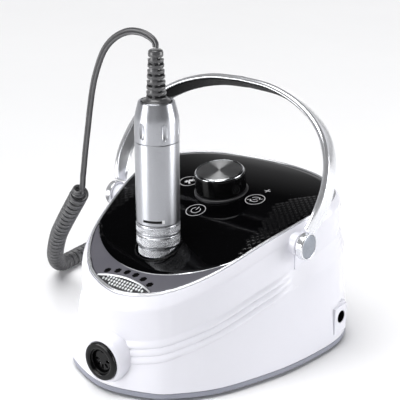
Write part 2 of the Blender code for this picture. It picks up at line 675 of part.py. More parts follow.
# ---------------------------------------------------------------- handpiece
def handpiece_parts(alu, polished, steel, dark, rubber):
    here = at(0, HP_Y, 0)
    inner = HP_R - 1.8
    body = turned("handpiece_body", [(HP_R - 0.3, HP_SEAM - GAP), (HP_R, HP_SEAM - 0.6),
                                     (HP_R, HP_BODY_BOTTOM + 0.3),
                                     (HP_R - 0.3, HP_BODY_BOTTOM), (inner, HP_BODY_BOTTOM),
                                     (inner, HP_SEAM - GAP)], alu, 28, here, closed=True)
    for k in range(MARK_SLOTS):
        centre = 26.0 + 120.0 * k
        for step in range(3):
            a = math.radians(centre + (step - 1) * 18.0)
            turn = here @ Matrix.Rotation(a, 4, "Z")
            cut(body, box(f"mark_slot_{k}_{step}", (-2.4, -HP_R - 1, 94.6), (2.4, -HP_R + 1.1, 96.0), None,
                          turn))
    cap = turned("handpiece_rear_cap", [(10.2, HP_TOP), (10.7, HP_TOP - 0.5),
                                        (HP_R - 0.3, HP_SHOULDER + 0.4),
                                        (HP_R, HP_SHOULDER - 0.6), (HP_R, HP_SEAM + 0.3),
                                        (HP_R - 0.3, HP_SEAM),
                                        (inner, HP_SEAM), (inner, HP_SHOULDER - 4.0),
                                        (8.9, HP_SHOULDER - 2.0),
                                        (8.9, HP_TOP)], alu, 28, here, closed=True)
    for k in range(FLUTES):
        turn = here @ Matrix.Rotation(math.radians(360.0 * k / FLUTES), 4, "Z")
        flute = turned(f"flute_{k}", [(0, 5.3), (1.2, 4.9), (2.0, 3.7), (2.0, -3.7), (1.2, -4.9),
                                      (0, -5.3)], None, 12,
                       turn @ at(0, -HP_R - 0.9, 149.2))
        cut(cap, flute)
    turned("lock_collar", [(HP_R - 0.2, COLLAR_TOP), (HP_R + 0.2, COLLAR_TOP - 0.4), (HP_R + 0.2, 86.6),
                           (HP_R - 0.5, 85.9), (HP_R - 0.5, 84.9), (HP_R + 0.1, 84.3), (HP_R + 0.1, 79.2),
                           (HP_R - 0.7, 78.6), (HP_R - 0.7, COLLAR_BOTTOM), (9.6, COLLAR_BOTTOM),
                           (9.6, COLLAR_TOP)], alu, 32, here, closed=True)
    turned("handpiece_nose", [(11.4, NOSE_TOP), (11.9, NOSE_TOP - 0.5), (11.9, NOSE_RING_BOTTOM + 0.4),
                              (11.5, NOSE_RING_BOTTOM), (10.6, NOSE_RING_BOTTOM - 1.0), (8.0, 56.0),
                              (5.4, 50.6),
                              (5.2, NOSE_TIP), (3.4, NOSE_TIP), (3.4, 55.0), (8.4, 66.0), (8.4, NOSE_TOP)],
           alu, 28, here, closed=True)
    turned("collet_chuck", [(0, 66.0), (5.0, 66.0), (5.0, 62.0), (2.9, 56.0), (2.9, NOSE_TIP - 1.6),
                            (2.4, NOSE_TIP - 2.2), (1.3, NOSE_TIP - 2.2), (1.3, 60.0), (0, 60.0)], steel,
           20, here)
    turned("front_bearing", [(8.1, 71.6), (8.1, 66.6), (3.3, 66.6), (3.3, 71.6)], steel, 24, here,
           closed=True)
    turned("motor_rotor", [(0, 134.0), (1.6, 134.0), (1.6, 126.0), (6.4, 126.0), (6.4, 98.0), (3.0, 98.0),
                           (3.0, 66.3), (0, 66.3)], polished, 24, here)
    turned("motor_can", [(10.9, 128.0), (10.9, 94.5), (8.0, 94.5), (8.0, 128.0)], dark, 28, here,
           closed=True)
    turned("rear_bearing", [(6.5, 133.4), (6.5, 129.0), (1.9, 129.0), (1.9, 133.4)], steel, 20, here,
           closed=True)
    disc("brush_cap", 10.9, 4.0, dark, at(0, HP_Y, 134.4), 0.5, 28)
    relief = turned("strain_relief", [(0, RELIEF_TOP), (3.4, RELIEF_TOP), (3.9, RELIEF_TOP - 1.0),
                                      (5.7, 168.6),
                                      (6.2, 166.4), (8.5, 165.4), (8.5, 157.0), (7.0, 155.0), (0, 155.0)],
                    rubber, 24, here)
    for k in range(6):
        z = 170.6 + 3.6 * k
        turn = here @ Matrix.Rotation(math.radians(90.0 * (k % 2)), 4, "Z")
        for side in (-1, 1):
            low = (min(side * 2.6, side * 9.0), -5.6, z)
            high = (max(side * 2.6, side * 9.0), 5.6, z + 1.5)
            cut(relief, box(f"relief_gap_{k}_{side}", low, high, None, turn))


def cord_parts(rubber, dark, metal):
    tube("cord_lead", LEAD_ROUTE, CORD_D, 7.0, rubber)
    tube("cord_coil_hang", HANG_ROUTE, COIL_D, 9.0, rubber, 3)
    tube("cord_coil_floor", FLOOR_ROUTE, COIL_D, 9.0, rubber, 3)
    tube("cord_tail", TAIL_ROUTE, CORD_D, 7.0, rubber)
    axis = facing((PLUG_START_X, PLUG_Y, PLUG_Z), (1, 0, 0))
    turned("plug_shell", [(0, 31.0), (6.4, 31.0), (7.6, 29.6), (7.6, 15.0), (7.0, 14.0), (4.4, 9.0),
                          (3.4, 0.4), (3.0, 0), (0, 0)], dark, 24, axis)
    turned("plug_ring", [(6.3, 40.0), (6.6, 39.7), (6.6, 31.0 + GAP), (5.6, 31.0 + GAP), (5.6, 40.0)],
           metal, 24,
           axis, closed=True)
    disc("plug_insert", 5.3, 3.0, dark, axis @ at(0, 0, 31.0 + GAP), 0, 24)


# ---------------------------------------------------------------- joints
def axis_empty(name, matrix, pieces, parent=None):
    """Empty on a joint's axis; the pieces that move with it hang from it and keep their places."""
    empty = bpy.data.objects.new(name, None)
    empty.empty_display_size = 0.02
    collection(PARTS).objects.link(empty)
    empty.matrix_world = matrix
    if parent is not None:
        hang(empty, *parent)
    for piece in pieces:
        hang(bpy.data.objects[piece], empty, matrix)
    return empty, matrix


def hang(piece, empty, matrix):
    piece.parent = empty
    piece.matrix_parent_inverse = matrix.inverted()


def joint_axes():
    axis_empty("axis_handle", facing((0, PIVOT_Y, PIVOT_Z), (1, 0, 0)),
               ("handle_band", "handle_grip", "handle_hub_left", "handle_hub_right", "pivot_pin_left",
                "pivot_pin_right"))
    axis_empty("axis_knob", knob_matrix(0.0), ("knob", "knob_cap", "speed_shaft"))
    handpiece = axis_empty("axis_handpiece", at(0, HP_Y, 0),
                           ("handpiece_body", "handpiece_rear_cap", "handpiece_nose", "front_bearing",
                            "rear_bearing", "motor_can", "brush_cap", "strain_relief", "cord_lead"))
    axis_empty("axis_collar", at(0, HP_Y, 85.0), ("lock_collar",), handpiece)
    axis_empty("axis_spindle", at(0, HP_Y, 85.0), ("motor_rotor", "collet_chuck"), handpiece)


def build():
    clear_scene()
    white = material("white_gloss_abs", (0.86, 0.86, 0.88), 0.22, coat=0.4)
    grey = material("grey_base_abs", (0.33, 0.34, 0.40), 0.45)
    foot = material("foot_rubber", (0.25, 0.25, 0.26), 0.8)
    chrome = material("chrome_plate", (0.80, 0.81, 0.83), 0.06, 1.0)
    glass = material("black_panel", (0.006, 0.006, 0.007), 0.08, coat=1.0)
    slate = material("slate_bezel", (0.13, 0.13, 0.15), 0.5)
    silver = material("silver_grille", (0.55, 0.56, 0.58), 0.3, 0.8)
    black = material("black_gloss", (0.01, 0.01, 0.011), 0.2)
    spun = material("spun_black_metal", (0.10, 0.10, 0.10), 0.25, 1.0)
    steel = material("bright_steel", (0.62, 0.62, 0.63), 0.2, 1.0)
    zinc = material("zinc_screw", (0.5, 0.5, 0.5), 0.35, 1.0)
    alu = material("satin_aluminium", (0.72, 0.73, 0.75), 0.36, 1.0)
    copper = material("rotor_copper", (0.55, 0.25, 0.12), 0.3, 1.0)
    dark = material("dark_plastic", (0.03, 0.03, 0.032), 0.5)
    board = material("circuit_board", (0.02, 0.18, 0.07), 0.4)
    can = material("capacitor_sleeve", (0.03, 0.05, 0.16), 0.4)
    bush = material("white_acetal", (0.75, 0.75, 0.76), 0.35)
    rubber = material("grey_cord_rubber", (0.10, 0.10, 0.11), 0.6)
    housing_shell(white)
    base_plate(grey, zinc, foot)
    panel_trim(chrome)
    control_panel(glass)
    nose_bezel(slate)
    vent_grille(silver)
    din_socket(black, zinc)
    rear_jack("power", 1, black, steel)
    rear_jack("pedal", -1, black, steel)
    electronics(board, dark, zinc, can)
    handpiece_well(black)
    handle_parts(chrome, black, steel, bush)
    knob_parts(black, spun, steel, dark)
    handpiece_parts(alu, copper, steel, dark, rubber)
    cord_parts(rubber, dark, steel)
    joint_axes()


build()
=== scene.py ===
import json
import math

import bmesh
import bpy
import numpy as np
from mathutils import Matrix, Vector

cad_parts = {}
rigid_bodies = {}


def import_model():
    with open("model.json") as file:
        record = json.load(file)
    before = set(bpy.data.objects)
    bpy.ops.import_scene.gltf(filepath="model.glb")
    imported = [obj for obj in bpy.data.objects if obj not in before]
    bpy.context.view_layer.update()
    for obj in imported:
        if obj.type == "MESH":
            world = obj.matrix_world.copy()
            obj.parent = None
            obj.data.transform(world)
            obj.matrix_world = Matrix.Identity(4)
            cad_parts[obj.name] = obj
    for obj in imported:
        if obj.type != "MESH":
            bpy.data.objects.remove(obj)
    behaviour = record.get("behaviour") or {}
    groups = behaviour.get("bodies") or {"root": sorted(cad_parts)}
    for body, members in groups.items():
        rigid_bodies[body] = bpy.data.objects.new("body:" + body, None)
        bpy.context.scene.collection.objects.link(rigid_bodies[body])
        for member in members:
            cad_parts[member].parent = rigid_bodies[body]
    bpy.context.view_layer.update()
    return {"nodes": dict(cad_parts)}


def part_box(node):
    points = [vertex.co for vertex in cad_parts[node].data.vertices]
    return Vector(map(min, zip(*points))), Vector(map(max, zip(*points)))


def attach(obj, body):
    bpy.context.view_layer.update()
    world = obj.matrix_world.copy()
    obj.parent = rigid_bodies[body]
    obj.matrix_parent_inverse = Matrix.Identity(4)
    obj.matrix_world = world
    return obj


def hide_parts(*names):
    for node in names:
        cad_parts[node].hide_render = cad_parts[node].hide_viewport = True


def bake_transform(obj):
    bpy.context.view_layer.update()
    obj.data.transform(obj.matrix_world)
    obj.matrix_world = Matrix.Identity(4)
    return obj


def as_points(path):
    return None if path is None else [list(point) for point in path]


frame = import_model()

# Lengths are in millimetres and names that end in _DEG are angles. Shares of an outline, slopes, counts,
# directions and light levels have no unit here.
MM = 0.001

# View: camera round a point near the middle of the box
VIEW_TARGET = (-0.27, 1.17, 93.2)
VIEW_DISTANCE = 630.9
VIEW_AZIMUTH_DEG = 38.41
VIEW_ELEVATION_DEG = 19.89
LENS = 91.47

# Control box outlines: (y, half width) of the top rim and the bottom edge, nose to back
RIM_STATIONS = ((-77, 0), (-72, 22), (-62, 36.5), (-43, 50), (-14, 60), (10, 67), (30, 70.3), (44, 68.8),
    (57, 62), (70, 46), (77, 25), (79.5, 0))
BASE_STATIONS = ((-91, 0), (-82, 31), (-70, 45), (-52, 58), (-24, 69), (0, 75.3), (32, 79), (52, 77),
    (68, 68.5), (81, 50), (89, 26), (91, 0))
CENTRE_Y = 5
COLUMNS = 288
SHELL_BOTTOM = 5.8
WALL = 2.6
TOP_Z = 91.3
TOP_Y = 10
TOP_SLOPE = 0.228
TOP_BEND = 0.00159
BAND_TOP = 25
BAND_BOTTOM = 36.5
RIDGES = 3
LEDGE = 3.2
PANEL_THICK = 2.9
TRIM_SHARE = -0.10
PANEL_SHARE = -0.13
PANEL_FRONT_R = 66.5
PANEL_FRONT_Y = 6.2
LENS_R = 57.5
LENS_TOP_Y = -66.6
SLOT_PITCH = 6.6
SLOT_SIZE = (4.6, 3.4)
SLOT_Y = -63.3
BEAD_PITCH = 2.15
ICON_LINE = 0.44
ICON_RING = 6.1

# Handle, in its own leaning plane
LEAN_DEG = 28
HANDLE_STATIONS = ((75.3, 9.2), (77.6, 17), (78.9, 27), (78.3, 38), (75, 51), (67.5, 64.5), (56, 75),
    (41, 83), (22, 88.3), (0, 89.8))
BAND_THICK = 3.4
BAND_WIDTHS = ((9, 10), (22, 13.4), (42, 12.6), (62, 13.8), (87, 17), (92, 17))
KNOB_TILT_DEG = 9
KNOB_R = 16.2
KNOB_HEIGHT = 13.2
KNURL_CELLS = 54
FLUTES = 6
SCALE_SIZE = 2.1

# Cord: a flat twin lead that winds into a curly coil and ends in a plug
COIL_D = 12.6
COIL_PITCH = 5.7
COIL_EASE_IN = 7
COIL_EASE_OUT = 9
CORD_SPANS = 24
CORD_STEP = 0.155
LEAD_ROUTE = ((0, -39, 195.1), (0, -39, 196.9), (-2.4, -39, 199.6), (-8.2, -39, 201.8),
    (-13.8, -39, 202.4), (-20, -39, 201.8), (-27, -39, 199.2), (-33.5, -39, 195), (-38.8, -39, 189.6),
    (-43.2, -39, 182.5), (-48.6, -39, 169.5), (-52.4, -39, 154.5), (-55.4, -39, 139), (-58.2, -39, 124.5),
    (-60.6, -39, 110.5), (-61.3, -39, 107))
HANG_ROUTE = ((-63.5, -38, 98.6), (-70, -35.8, 90), (-79.7, -32, 79.3), (-93.1, -26, 65.2),
    (-107, -19, 50.3), (-119, -11, 36), (-129.5, -2.5, 23.5), (-137.5, 7, 13), (-142.5, 16.5, 7.6),
    (-144.5, 27, 6.6))
FLOOR_ROUTE = ((-146, 42, 6.6), (-146.5, 58, 6.6), (-141, 74, 6.6), (-129, 88, 6.6), (-112, 98, 6.6),
    (-94, 104.5, 6.6), (-76, 108, 6.6))
TAIL_ROUTE = ((-68, 109.6, 3.9), (-60, 112, 2.3), (-48, 114.4, 2.3), (-34, 116, 2.6), (-24, 116.6, 5.2),
    (-16, 116.8, 7.6), (-10.5, 116.8, 7.9))

# Light: brightness of the surroundings from level to straight up, and the lamps
SKY_STOPS = ((0, 0.20), (0.14, 0.75), (0.24, 1.05), (0.40, 0.24), (0.56, 0.02), (1, 0.04))
SKY_BRIGHT_SIDE = (-0.62, 0.78, 0)
OVERHEAD_POWER = 3.05
OVERHEAD_FROM = (-0.10, -0.20, 0.97)
OVERHEAD_SPREAD_DEG = 50
SOFTBOX_SIZE = (560, 410)
SOFTBOXES = {"left_box": ((-470, -883, 210), 4.7), "right_box": ((830, 560, 210), 5.4)}
SOFTBOX_AIM = (0, 0, 80)
FLOOR_HALF = 9000


# ---- numbers from the frame
def low(node):
    return np.array(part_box(node)[0]) / MM


def high(node):
    return np.array(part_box(node)[1]) / MM


HP_Y = (low("handpiece_body")[1] + high("handpiece_body")[1]) / 2
HP_R = high("handpiece_body")[0]
PIVOT_Y, PIVOT_Z = ((low("handle_hub_right") + high("handle_hub_right")) / 2)[1:]
HUB_R = (high("handle_hub_right") - low("handle_hub_right"))[2] / 2
HUB_INNER_X = low("handle_hub_right")[0]
HUB_OUTER_X = high("handle_hub_right")[0]
DIN_Z = (low("din_flange")[2] + high("din_flange")[2]) / 2
DIN_FRONT_Y = low("din_flange")[1]
DIN_R = high("din_flange")[0]
JACK_Y, JACK_Z = ((low("power_jack") + high("power_jack")) / 2)[1:]
JACK_R = (high("power_jack") - low("power_jack"))[2] / 2
PIVOT = (PIVOT_Y, PIVOT_Z)
JACK = (JACK_Y, JACK_Z)
JACK_FACE_X = 79.3
BASE_BOTTOM = low("base_plate")[2]
BASE_TOP = 5.5


# ---- outlines
def smooth_path(points, per_span):
    """Catmull-Rom curve through the points, ends held."""
    pts = [np.array(p, float) for p in points]
    pts = [2 * pts[0] - pts[1]] + pts + [2 * pts[-1] - pts[-2]]
    out = []
    for k in range(1, len(pts) - 2):
        a, b, c, d = pts[k - 1:k + 3]
        for step in range(per_span):
            t = step / per_span
            out.append(0.5 * (2 * b + (c - a) * t + (2 * a - 5 * b + 4 * c - d) * t * t
                + (3 * b - a - 3 * c + d) * t ** 3))
    out.append(pts[-2])
    return np.array(out)


def polar_outline(stations):
    right = [(x, y) for y, x in stations]
    left = [(-x, y) for x, y in reversed(right[1:-1])]
    ring = right + left
    loop = smooth_path(ring[-2:] + ring + ring[:3], 12)
    angle = np.arctan2(loop[:, 0], loop[:, 1] - CENTRE_Y) % (2 * math.pi)
    radius = np.hypot(loop[:, 0], loop[:, 1] - CENTRE_Y)
    order = np.argsort(angle)
    return lambda theta: np.interp(theta, angle[order], radius[order], period=2 * math.pi)


rim_radius = polar_outline(RIM_STATIONS)
base_radius = polar_outline(BASE_STATIONS)
THETAS = np.arange(COLUMNS) * 2 * math.pi / COLUMNS


def share_radius(theta, share):
    """Share 0 is the top rim outline and share 1 the bottom edge outline."""
    return (1 - share) * rim_radius(theta) + share * base_radius(theta)


def top_z(y):
    return TOP_Z + TOP_SLOPE * (y - TOP_Y) - TOP_BEND * (y - TOP_Y) ** 2


def ring_at(radius, depth=None, z=None, thetas=THETAS):
    """Ring of points at a radius from the box centre, below the top surface or at a level."""
    x = radius * np.sin(thetas)
    y = CENTRE_Y + radius * np.cos(thetas)
    level = top_z(y) - depth if z is None else np.broadcast_to(z, x.shape)
    return np.stack((x, y, level), axis=1)


def ray_to_circle(theta, centre_y, circle_r):
    dy = CENTRE_Y - centre_y
    along = dy * np.cos(theta)
    return -along + np.sqrt(np.maximum(along * along - dy * dy + circle_r * circle_r, 0))


def lens_radius(theta):
    dy = CENTRE_Y - (LENS_TOP_Y - LENS_R)
    along = dy * np.cos(theta)
    inside = along * along - dy * dy + LENS_R * LENS_R
    return np.where(inside > 0, -along - np.sqrt(np.maximum(inside, 0)), 1e6)


def panel_radius(theta, inset=0):
    edge = share_radius(theta, PANEL_SHARE) - inset
    front = ray_to_circle(theta, PANEL_FRONT_Y, PANEL_FRONT_R - inset)
    return np.where(np.cos(theta) > 0.2, edge, np.minimum(edge, front))


def ease(t):
    t = np.clip(t, 0, 1)
    return t * t * (3 - 2 * t)


# ---- mesh helpers
def add(name, data):
    obj = bpy.data.objects.new(name, data)
    bpy.context.scene.collection.objects.link(obj)
    return obj


def dress(obj, mat, sharp=35):
    mesh = obj.data
    mesh.materials.clear()
    mesh.materials.append(mat)
    mesh.polygons.foreach_set("use_smooth", [True] * len(mesh.polygons))
    mesh.set_sharp_from_angle(angle=math.radians(sharp))
    return obj


def from_bmesh(name, bm, mat, matrix, sharp):
    mesh = bpy.data.meshes.new(name)
    bm.to_mesh(mesh)
    bm.free()
    obj = add(name, mesh)
    if matrix is not None:
        obj.matrix_world = matrix
    return dress(obj, mat, sharp)


def solid(name, points, faces, mat, matrix=None, sharp=35):
    """Object from points in millimetres, with touching points merged and faces turned outward."""
    bm = bmesh.new()
    verts = [bm.verts.new(Vector(p) * MM) for p in points]
    for face in faces:
        bm.faces.new([verts[k] for k in face])
    bmesh.ops.remove_doubles(bm, verts=bm.verts, dist=1e-7)
    bmesh.ops.recalc_face_normals(bm, faces=bm.faces)
    return from_bmesh(name, bm, mat, matrix, sharp)


def skin(name, rows, mat, around=True, loop=False, caps=False, matrix=None, sharp=35):
    """Skin rows of equal-length point lists."""
    rows = np.array(rows)
    count = rows.shape[1]
    faces = []
    for i in range(len(rows) if loop else len(rows) - 1):
        a, b = i * count, (i + 1) % len(rows) * count
        for k in range(count if around else count - 1):
            n = (k + 1) % count
            faces.append((a + k, a + n, b + n, b + k))
    if caps:
        faces.append(tuple(range(count)))
        faces.append(tuple(range((len(rows) - 1) * count, len(rows) * count)))
    return solid(name, rows.reshape(-1, 3), faces, mat, matrix, sharp)


def fillet(points, steps=5):
    """Round each corner that carries a third number, the length of its rounding."""
    flat = [np.array(p[:2], float) for p in points]
    out = []
    for k, point in enumerate(points):
        size = point[2] if len(point) > 2 else 0
        if size == 0:
            out.append(flat[k])
            continue
        before = flat[k - 1] - flat[k]
        after = flat[(k + 1) % len(points)] - flat[k]
        start = flat[k] + before * min(size / np.linalg.norm(before), 0.5)
        end = flat[k] + after * min(size / np.linalg.norm(after), 0.5)
        for t in np.linspace(0, 1, steps + 1):
            out.append((1 - t) ** 2 * start + 2 * t * (1 - t) * flat[k] + t * t * end)
    return out


def whole_turn(steps):
    return np.arange(steps) * 2 * math.pi / steps


def circle(radius, z, angles, y=0):
    """Level ring of points, with one radius for all or one for each angle."""
    return np.stack((radius * np.cos(angles), y + radius * np.sin(angles), np.full(len(angles), z)), axis=1)


def turned(name, profile, mat, matrix=None, steps=128, closed=False, sharp=35):
    """Turn a (radius, z, rounding) profile about its own Z."""
    rows = [circle(r, z, whole_turn(steps)) for r, z in fillet(profile)]
    return skin(name, rows, mat, loop=closed, matrix=matrix, sharp=sharp)


def drill(name, radius, length, mat, matrix, steps=128):
    """Cutter: a plain round bar from the matrix's origin along its +Z."""
    return turned(name, [(0, length), (radius, length), (radius, 0), (0, 0)], mat, matrix, steps)


def at(x, y, z):
    return Matrix.Translation(Vector((x, y, z)) * MM)


def facing(point, axis):
    """Matrix that takes +Z onto the axis with its origin at the point."""
    turn = Vector((0, 0, 1)).rotation_difference(Vector(axis)).to_matrix().to_4x4()
    return at(*point) @ turn


def din_at(back):
    """Matrix on the five pin socket's axis, so far behind its front, with +Z pointing out."""
    return facing((0, DIN_FRONT_Y + back, DIN_Z), (0, -1, 0))


def beside(side, x, spot):
    """Matrix at a (y, z) spot on one flank of the box, with +Z pointing outward."""
    return facing((side * x, *spot), (side, 0, 0))


def block(name, lo, hi, mat, bevel=0.4, segments=3, matrix=None):
    bm = bmesh.new()
    bmesh.ops.create_cube(bm, size=1)
    bmesh.ops.scale(bm, vec=[(b - a) * MM for a, b in zip(lo, hi)], verts=bm.verts)
    bmesh.ops.translate(bm, vec=[(a + b) * MM / 2 for a, b in zip(lo, hi)], verts=bm.verts)
    bmesh.ops.bevel(bm, geom=list(bm.edges), offset=bevel * MM, segments=segments, affect="EDGES")
    return from_bmesh(name, bm, mat, matrix, 30)


def arc_block(name, radii, degrees, levels, mat, matrix, steps=24):
    """Curved block on a cylinder, from radius to radius, angle to angle and level to level."""
    rows = []
    for a in np.radians(np.linspace(degrees[0], degrees[1], steps)):
        corners = ((radii[0], levels[0]), (radii[1], levels[0]), (radii[1], levels[1]),
            (radii[0], levels[1]))
        rows.append([(r * math.sin(a), -r * math.cos(a), z) for r, z in corners])
    return skin(name, rows, mat, caps=True, matrix=matrix)


def carve(obj, cutters):
    """Cut the tools out of the piece and take them away."""
    for tool in cutters:
        mod = obj.modifiers.new("cut", "BOOLEAN")
        mod.operation = "DIFFERENCE"
        mod.solver = "EXACT"
        mod.object = tool
    bpy.context.view_layer.update()
    cut = bpy.data.meshes.new_from_object(obj.evaluated_get(bpy.context.evaluated_depsgraph_get()))
    mat = obj.data.materials[0]
    obj.modifiers.clear()
    obj.data = cut
    for tool in cutters:
        bpy.data.objects.remove(tool, do_unlink=True)
    return dress(obj, mat)


def put(obj, body, *nodes):
    """Ride the piece on its body and stand it in for CAD nodes."""
    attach(obj, body)
    if nodes:
        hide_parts(*nodes)
    return obj


# ---- materials
COAT_ROUGH = 0.14


def fill(made, **values):
    for key, value in values.items():
        if hasattr(made, key):
            setattr(made, key, value)
        else:
            made.inputs[key.replace("_", " ")].default_value = value
    return made


def node(mat, kind, **values):
    """Add a node to a material or the world; names with a space are written with an underscore."""
    made = mat.node_tree.nodes.new("ShaderNode" + kind)
    return fill(made, **values)


def wire(mat, start, out, end, into):
    mat.node_tree.links.new(start.outputs[out], end.inputs[into])


def principled(name, rough, metal=0, coat=0):
    mat = bpy.data.materials.new(name)
    mat.use_nodes = True
    shader = mat.node_tree.nodes["Principled BSDF"]
    return mat, fill(shader, Roughness=rough, Metallic=metal, Coat_Weight=coat, Coat_Roughness=COAT_ROUGH)


def finish_surface(name, dark, light, rough, metal=0, coat=0, cloud=18, grain=900, bump=0.15, spread=0.2,
        stretch=(1, 1, 1), specular=0.5):
    """Moulded or machined surface: cloudy colour and gloss, with a fine grain in its relief."""
    mat, shader = principled(name, rough, metal, coat)
    fill(shader, Specular_IOR_Level=specular)
    coords = node(mat, "TexCoord")
    mapping = node(mat, "Mapping", Scale=stretch)
    wire(mat, coords, "Object", mapping, "Vector")
    broad = node(mat, "TexNoise", Scale=cloud, Detail=4)
    fine = node(mat, "TexNoise", Scale=grain, Detail=3)
    wire(mat, mapping, "Vector", broad, "Vector")
    wire(mat, mapping, "Vector", fine, "Vector")
    ramp = node(mat, "ValToRGB")
    ramp.color_ramp.elements[0].position = 0.3
    ramp.color_ramp.elements[0].color = (*dark, 1)
    ramp.color_ramp.elements[1].position = 0.7
    ramp.color_ramp.elements[1].color = (*light, 1)
    wire(mat, broad, "Fac", ramp, "Fac")
    wire(mat, ramp, "Color", shader, "Base Color")
    gloss = node(mat, "MapRange", From_Min=0.3, From_Max=0.7, To_Min=rough * (1 - spread),
        To_Max=rough * (1 + spread))
    wire(mat, fine, "Fac", gloss, "Value")
    wire(mat, gloss, "Result", shader, "Roughness")
    relief = node(mat, "Bump", Strength=bump, Distance=0.0002)
    wire(mat, fine, "Fac", relief, "Height")
    wire(mat, relief, "Normal", shader, "Normal")
    return mat


def lathe_marks(mat, strength):
    """Fine turning marks run round the piece, so highlights stretch along its axis."""
    shader = mat.node_tree.nodes["Principled BSDF"]
    fill(shader, Anisotropic=strength, Anisotropic_Rotation=0.25)
    tangent = node(mat, "Tangent", direction_type="RADIAL", axis="Z")
    wire(mat, tangent, "Tangent", shader, "Tangent")
    return mat


def spun_metal():
    """Turned face of the knob: fine concentric rings that light up as two opposite fans."""
    mat, shader = principled("spun_black_metal", 0.34, 1)
    lathe_marks(mat, 0.94)
    coords = node(mat, "TexCoord")
    rings = node(mat, "TexWave", wave_type="RINGS", rings_direction="Z", Scale=420, Distortion=0.4,
        Detail=2)
    wire(mat, coords, "Object", rings, "Vector")
    ramp = node(mat, "ValToRGB")
    ramp.color_ramp.elements[0].color = (0.22, 0.22, 0.225, 1)
    ramp.color_ramp.elements[1].color = (0.46, 0.46, 0.465, 1)
    wire(mat, rings, "Fac", ramp, "Fac")
    wire(mat, ramp, "Color", shader, "Base Color")
    relief = node(mat, "Bump", Strength=0.12, Distance=0.0001)
    wire(mat, rings, "Fac", relief, "Height")
    wire(mat, relief, "Normal", shader, "Normal")
    return mat


WHITE = finish_surface("white_gloss_abs", (0.80, 0.80, 0.865), (0.83, 0.83, 0.89), 0.24, coat=0.35,
    cloud=9, grain=90, bump=0, spread=0)
BASE_GREY = finish_surface("grey_base_abs", (0.27, 0.28, 0.34), (0.32, 0.33, 0.39), 0.42, grain=1400,
    bump=0.2)
FOOT = finish_surface("foot_rubber", (0.16, 0.16, 0.17), (0.22, 0.22, 0.23), 0.8, grain=700, bump=0.4)
CHROME = finish_surface("chrome_plate", (0.72, 0.73, 0.75), (0.80, 0.81, 0.83), 0.07, 1, cloud=30,
    grain=160, bump=0.015, spread=0.35)
PANEL = finish_surface("black_panel", (0.0008, 0.0008, 0.001), (0.0016, 0.0016, 0.002), 0.07, cloud=12,
    grain=120, bump=0.004, spread=0.25, specular=0.32)
WEAVE = finish_surface("black_scales", (0.0015, 0.0015, 0.0018), (0.003, 0.003, 0.0034), 0.14, cloud=60,
    grain=1500, bump=0.25)
SLATE = finish_surface("slate_bezel", (0.072, 0.070, 0.088), (0.088, 0.086, 0.104), 0.5, cloud=30,
    grain=2200, bump=0.2)
SILVER = finish_surface("silver_grille", (0.62, 0.63, 0.65), (0.82, 0.83, 0.85), 0.35, 1, grain=1500,
    bump=0.05)
GRILLE_BACK = finish_surface("grille_backing", (0.010, 0.010, 0.012), (0.018, 0.018, 0.020), 0.6,
    grain=1500)
BLACK = finish_surface("black_gloss", (0.002, 0.002, 0.0022), (0.004, 0.004, 0.0045), 0.16, cloud=40,
    grain=400, bump=0.01, specular=0.22)
DARK = finish_surface("dark_plastic", (0.018, 0.018, 0.020), (0.034, 0.034, 0.037), 0.42, grain=1600,
    bump=0.25)
BRIGHT = finish_surface("bright_steel", (0.55, 0.55, 0.56), (0.68, 0.68, 0.69), 0.2, 1, grain=900,
    bump=0.05)
ALU = lathe_marks(finish_surface("satin_aluminium", (0.46, 0.47, 0.50), (0.51, 0.52, 0.55), 0.33, 1,
    cloud=40, grain=2600, bump=0.12), 0.8)
KNURL = finish_surface("knurled_aluminium", (0.56, 0.57, 0.60), (0.66, 0.67, 0.70), 0.30, 1, cloud=60,
    grain=1200, bump=0.05)
STRAP = finish_surface("plated_strap", (0.80, 0.81, 0.84), (0.88, 0.89, 0.92), 0.17, 0.72, cloud=30,
    grain=160, bump=0.01)
LINING = finish_surface("black_inlay", (0.004, 0.004, 0.0045), (0.008, 0.008, 0.009), 0.55, grain=900,
    bump=0.05, specular=0.08)
POLISHED = finish_surface("polished_aluminium", (0.50, 0.51, 0.53), (0.58, 0.59, 0.61), 0.16, 1, cloud=60,
    grain=1200, bump=0.05)
SATIN = lathe_marks(finish_surface("satin_steel", (0.26, 0.28, 0.32), (0.34, 0.36, 0.40), 0.24, 1,
    cloud=90, grain=1800, bump=0.05), 0.5)
RUBBER = finish_surface("grey_cord_rubber", (0.050, 0.050, 0.053), (0.075, 0.075, 0.079), 0.34, coat=0.45,
    cloud=70, grain=1800, bump=0.12)
COPPER = finish_surface("rotor_copper", (0.50, 0.22, 0.09), (0.66, 0.34, 0.16), 0.3, 1, grain=2400,
    bump=0.4, stretch=(1, 1, 8))
BOARD = finish_surface("circuit_board", (0.010, 0.10, 0.035), (0.020, 0.17, 0.06), 0.35, cloud=260,
    grain=1100)
SLEEVE = finish_surface("capacitor_sleeve", (0.02, 0.035, 0.11), (0.035, 0.06, 0.17), 0.35, grain=1100)
ACETAL = finish_surface("white_acetal", (0.70, 0.70, 0.74), (0.78, 0.78, 0.82), 0.32, grain=1200, bump=0.06)
ICON = finish_surface("icon_ink", (0.55, 0.55, 0.57), (0.66, 0.66, 0.68), 0.5, cloud=300, grain=3000,
    bump=0.05)
MARK = finish_surface("mark_paint", (0.85, 0.85, 0.87), (0.93, 0.93, 0.94), 0.4, grain=3000, bump=0.05)
SPUN = spun_metal()
FLOOR = finish_surface("studio_floor", (0.88, 0.88, 0.89), (0.90, 0.90, 0.91), 0.9, cloud=3, grain=60,
    bump=0)


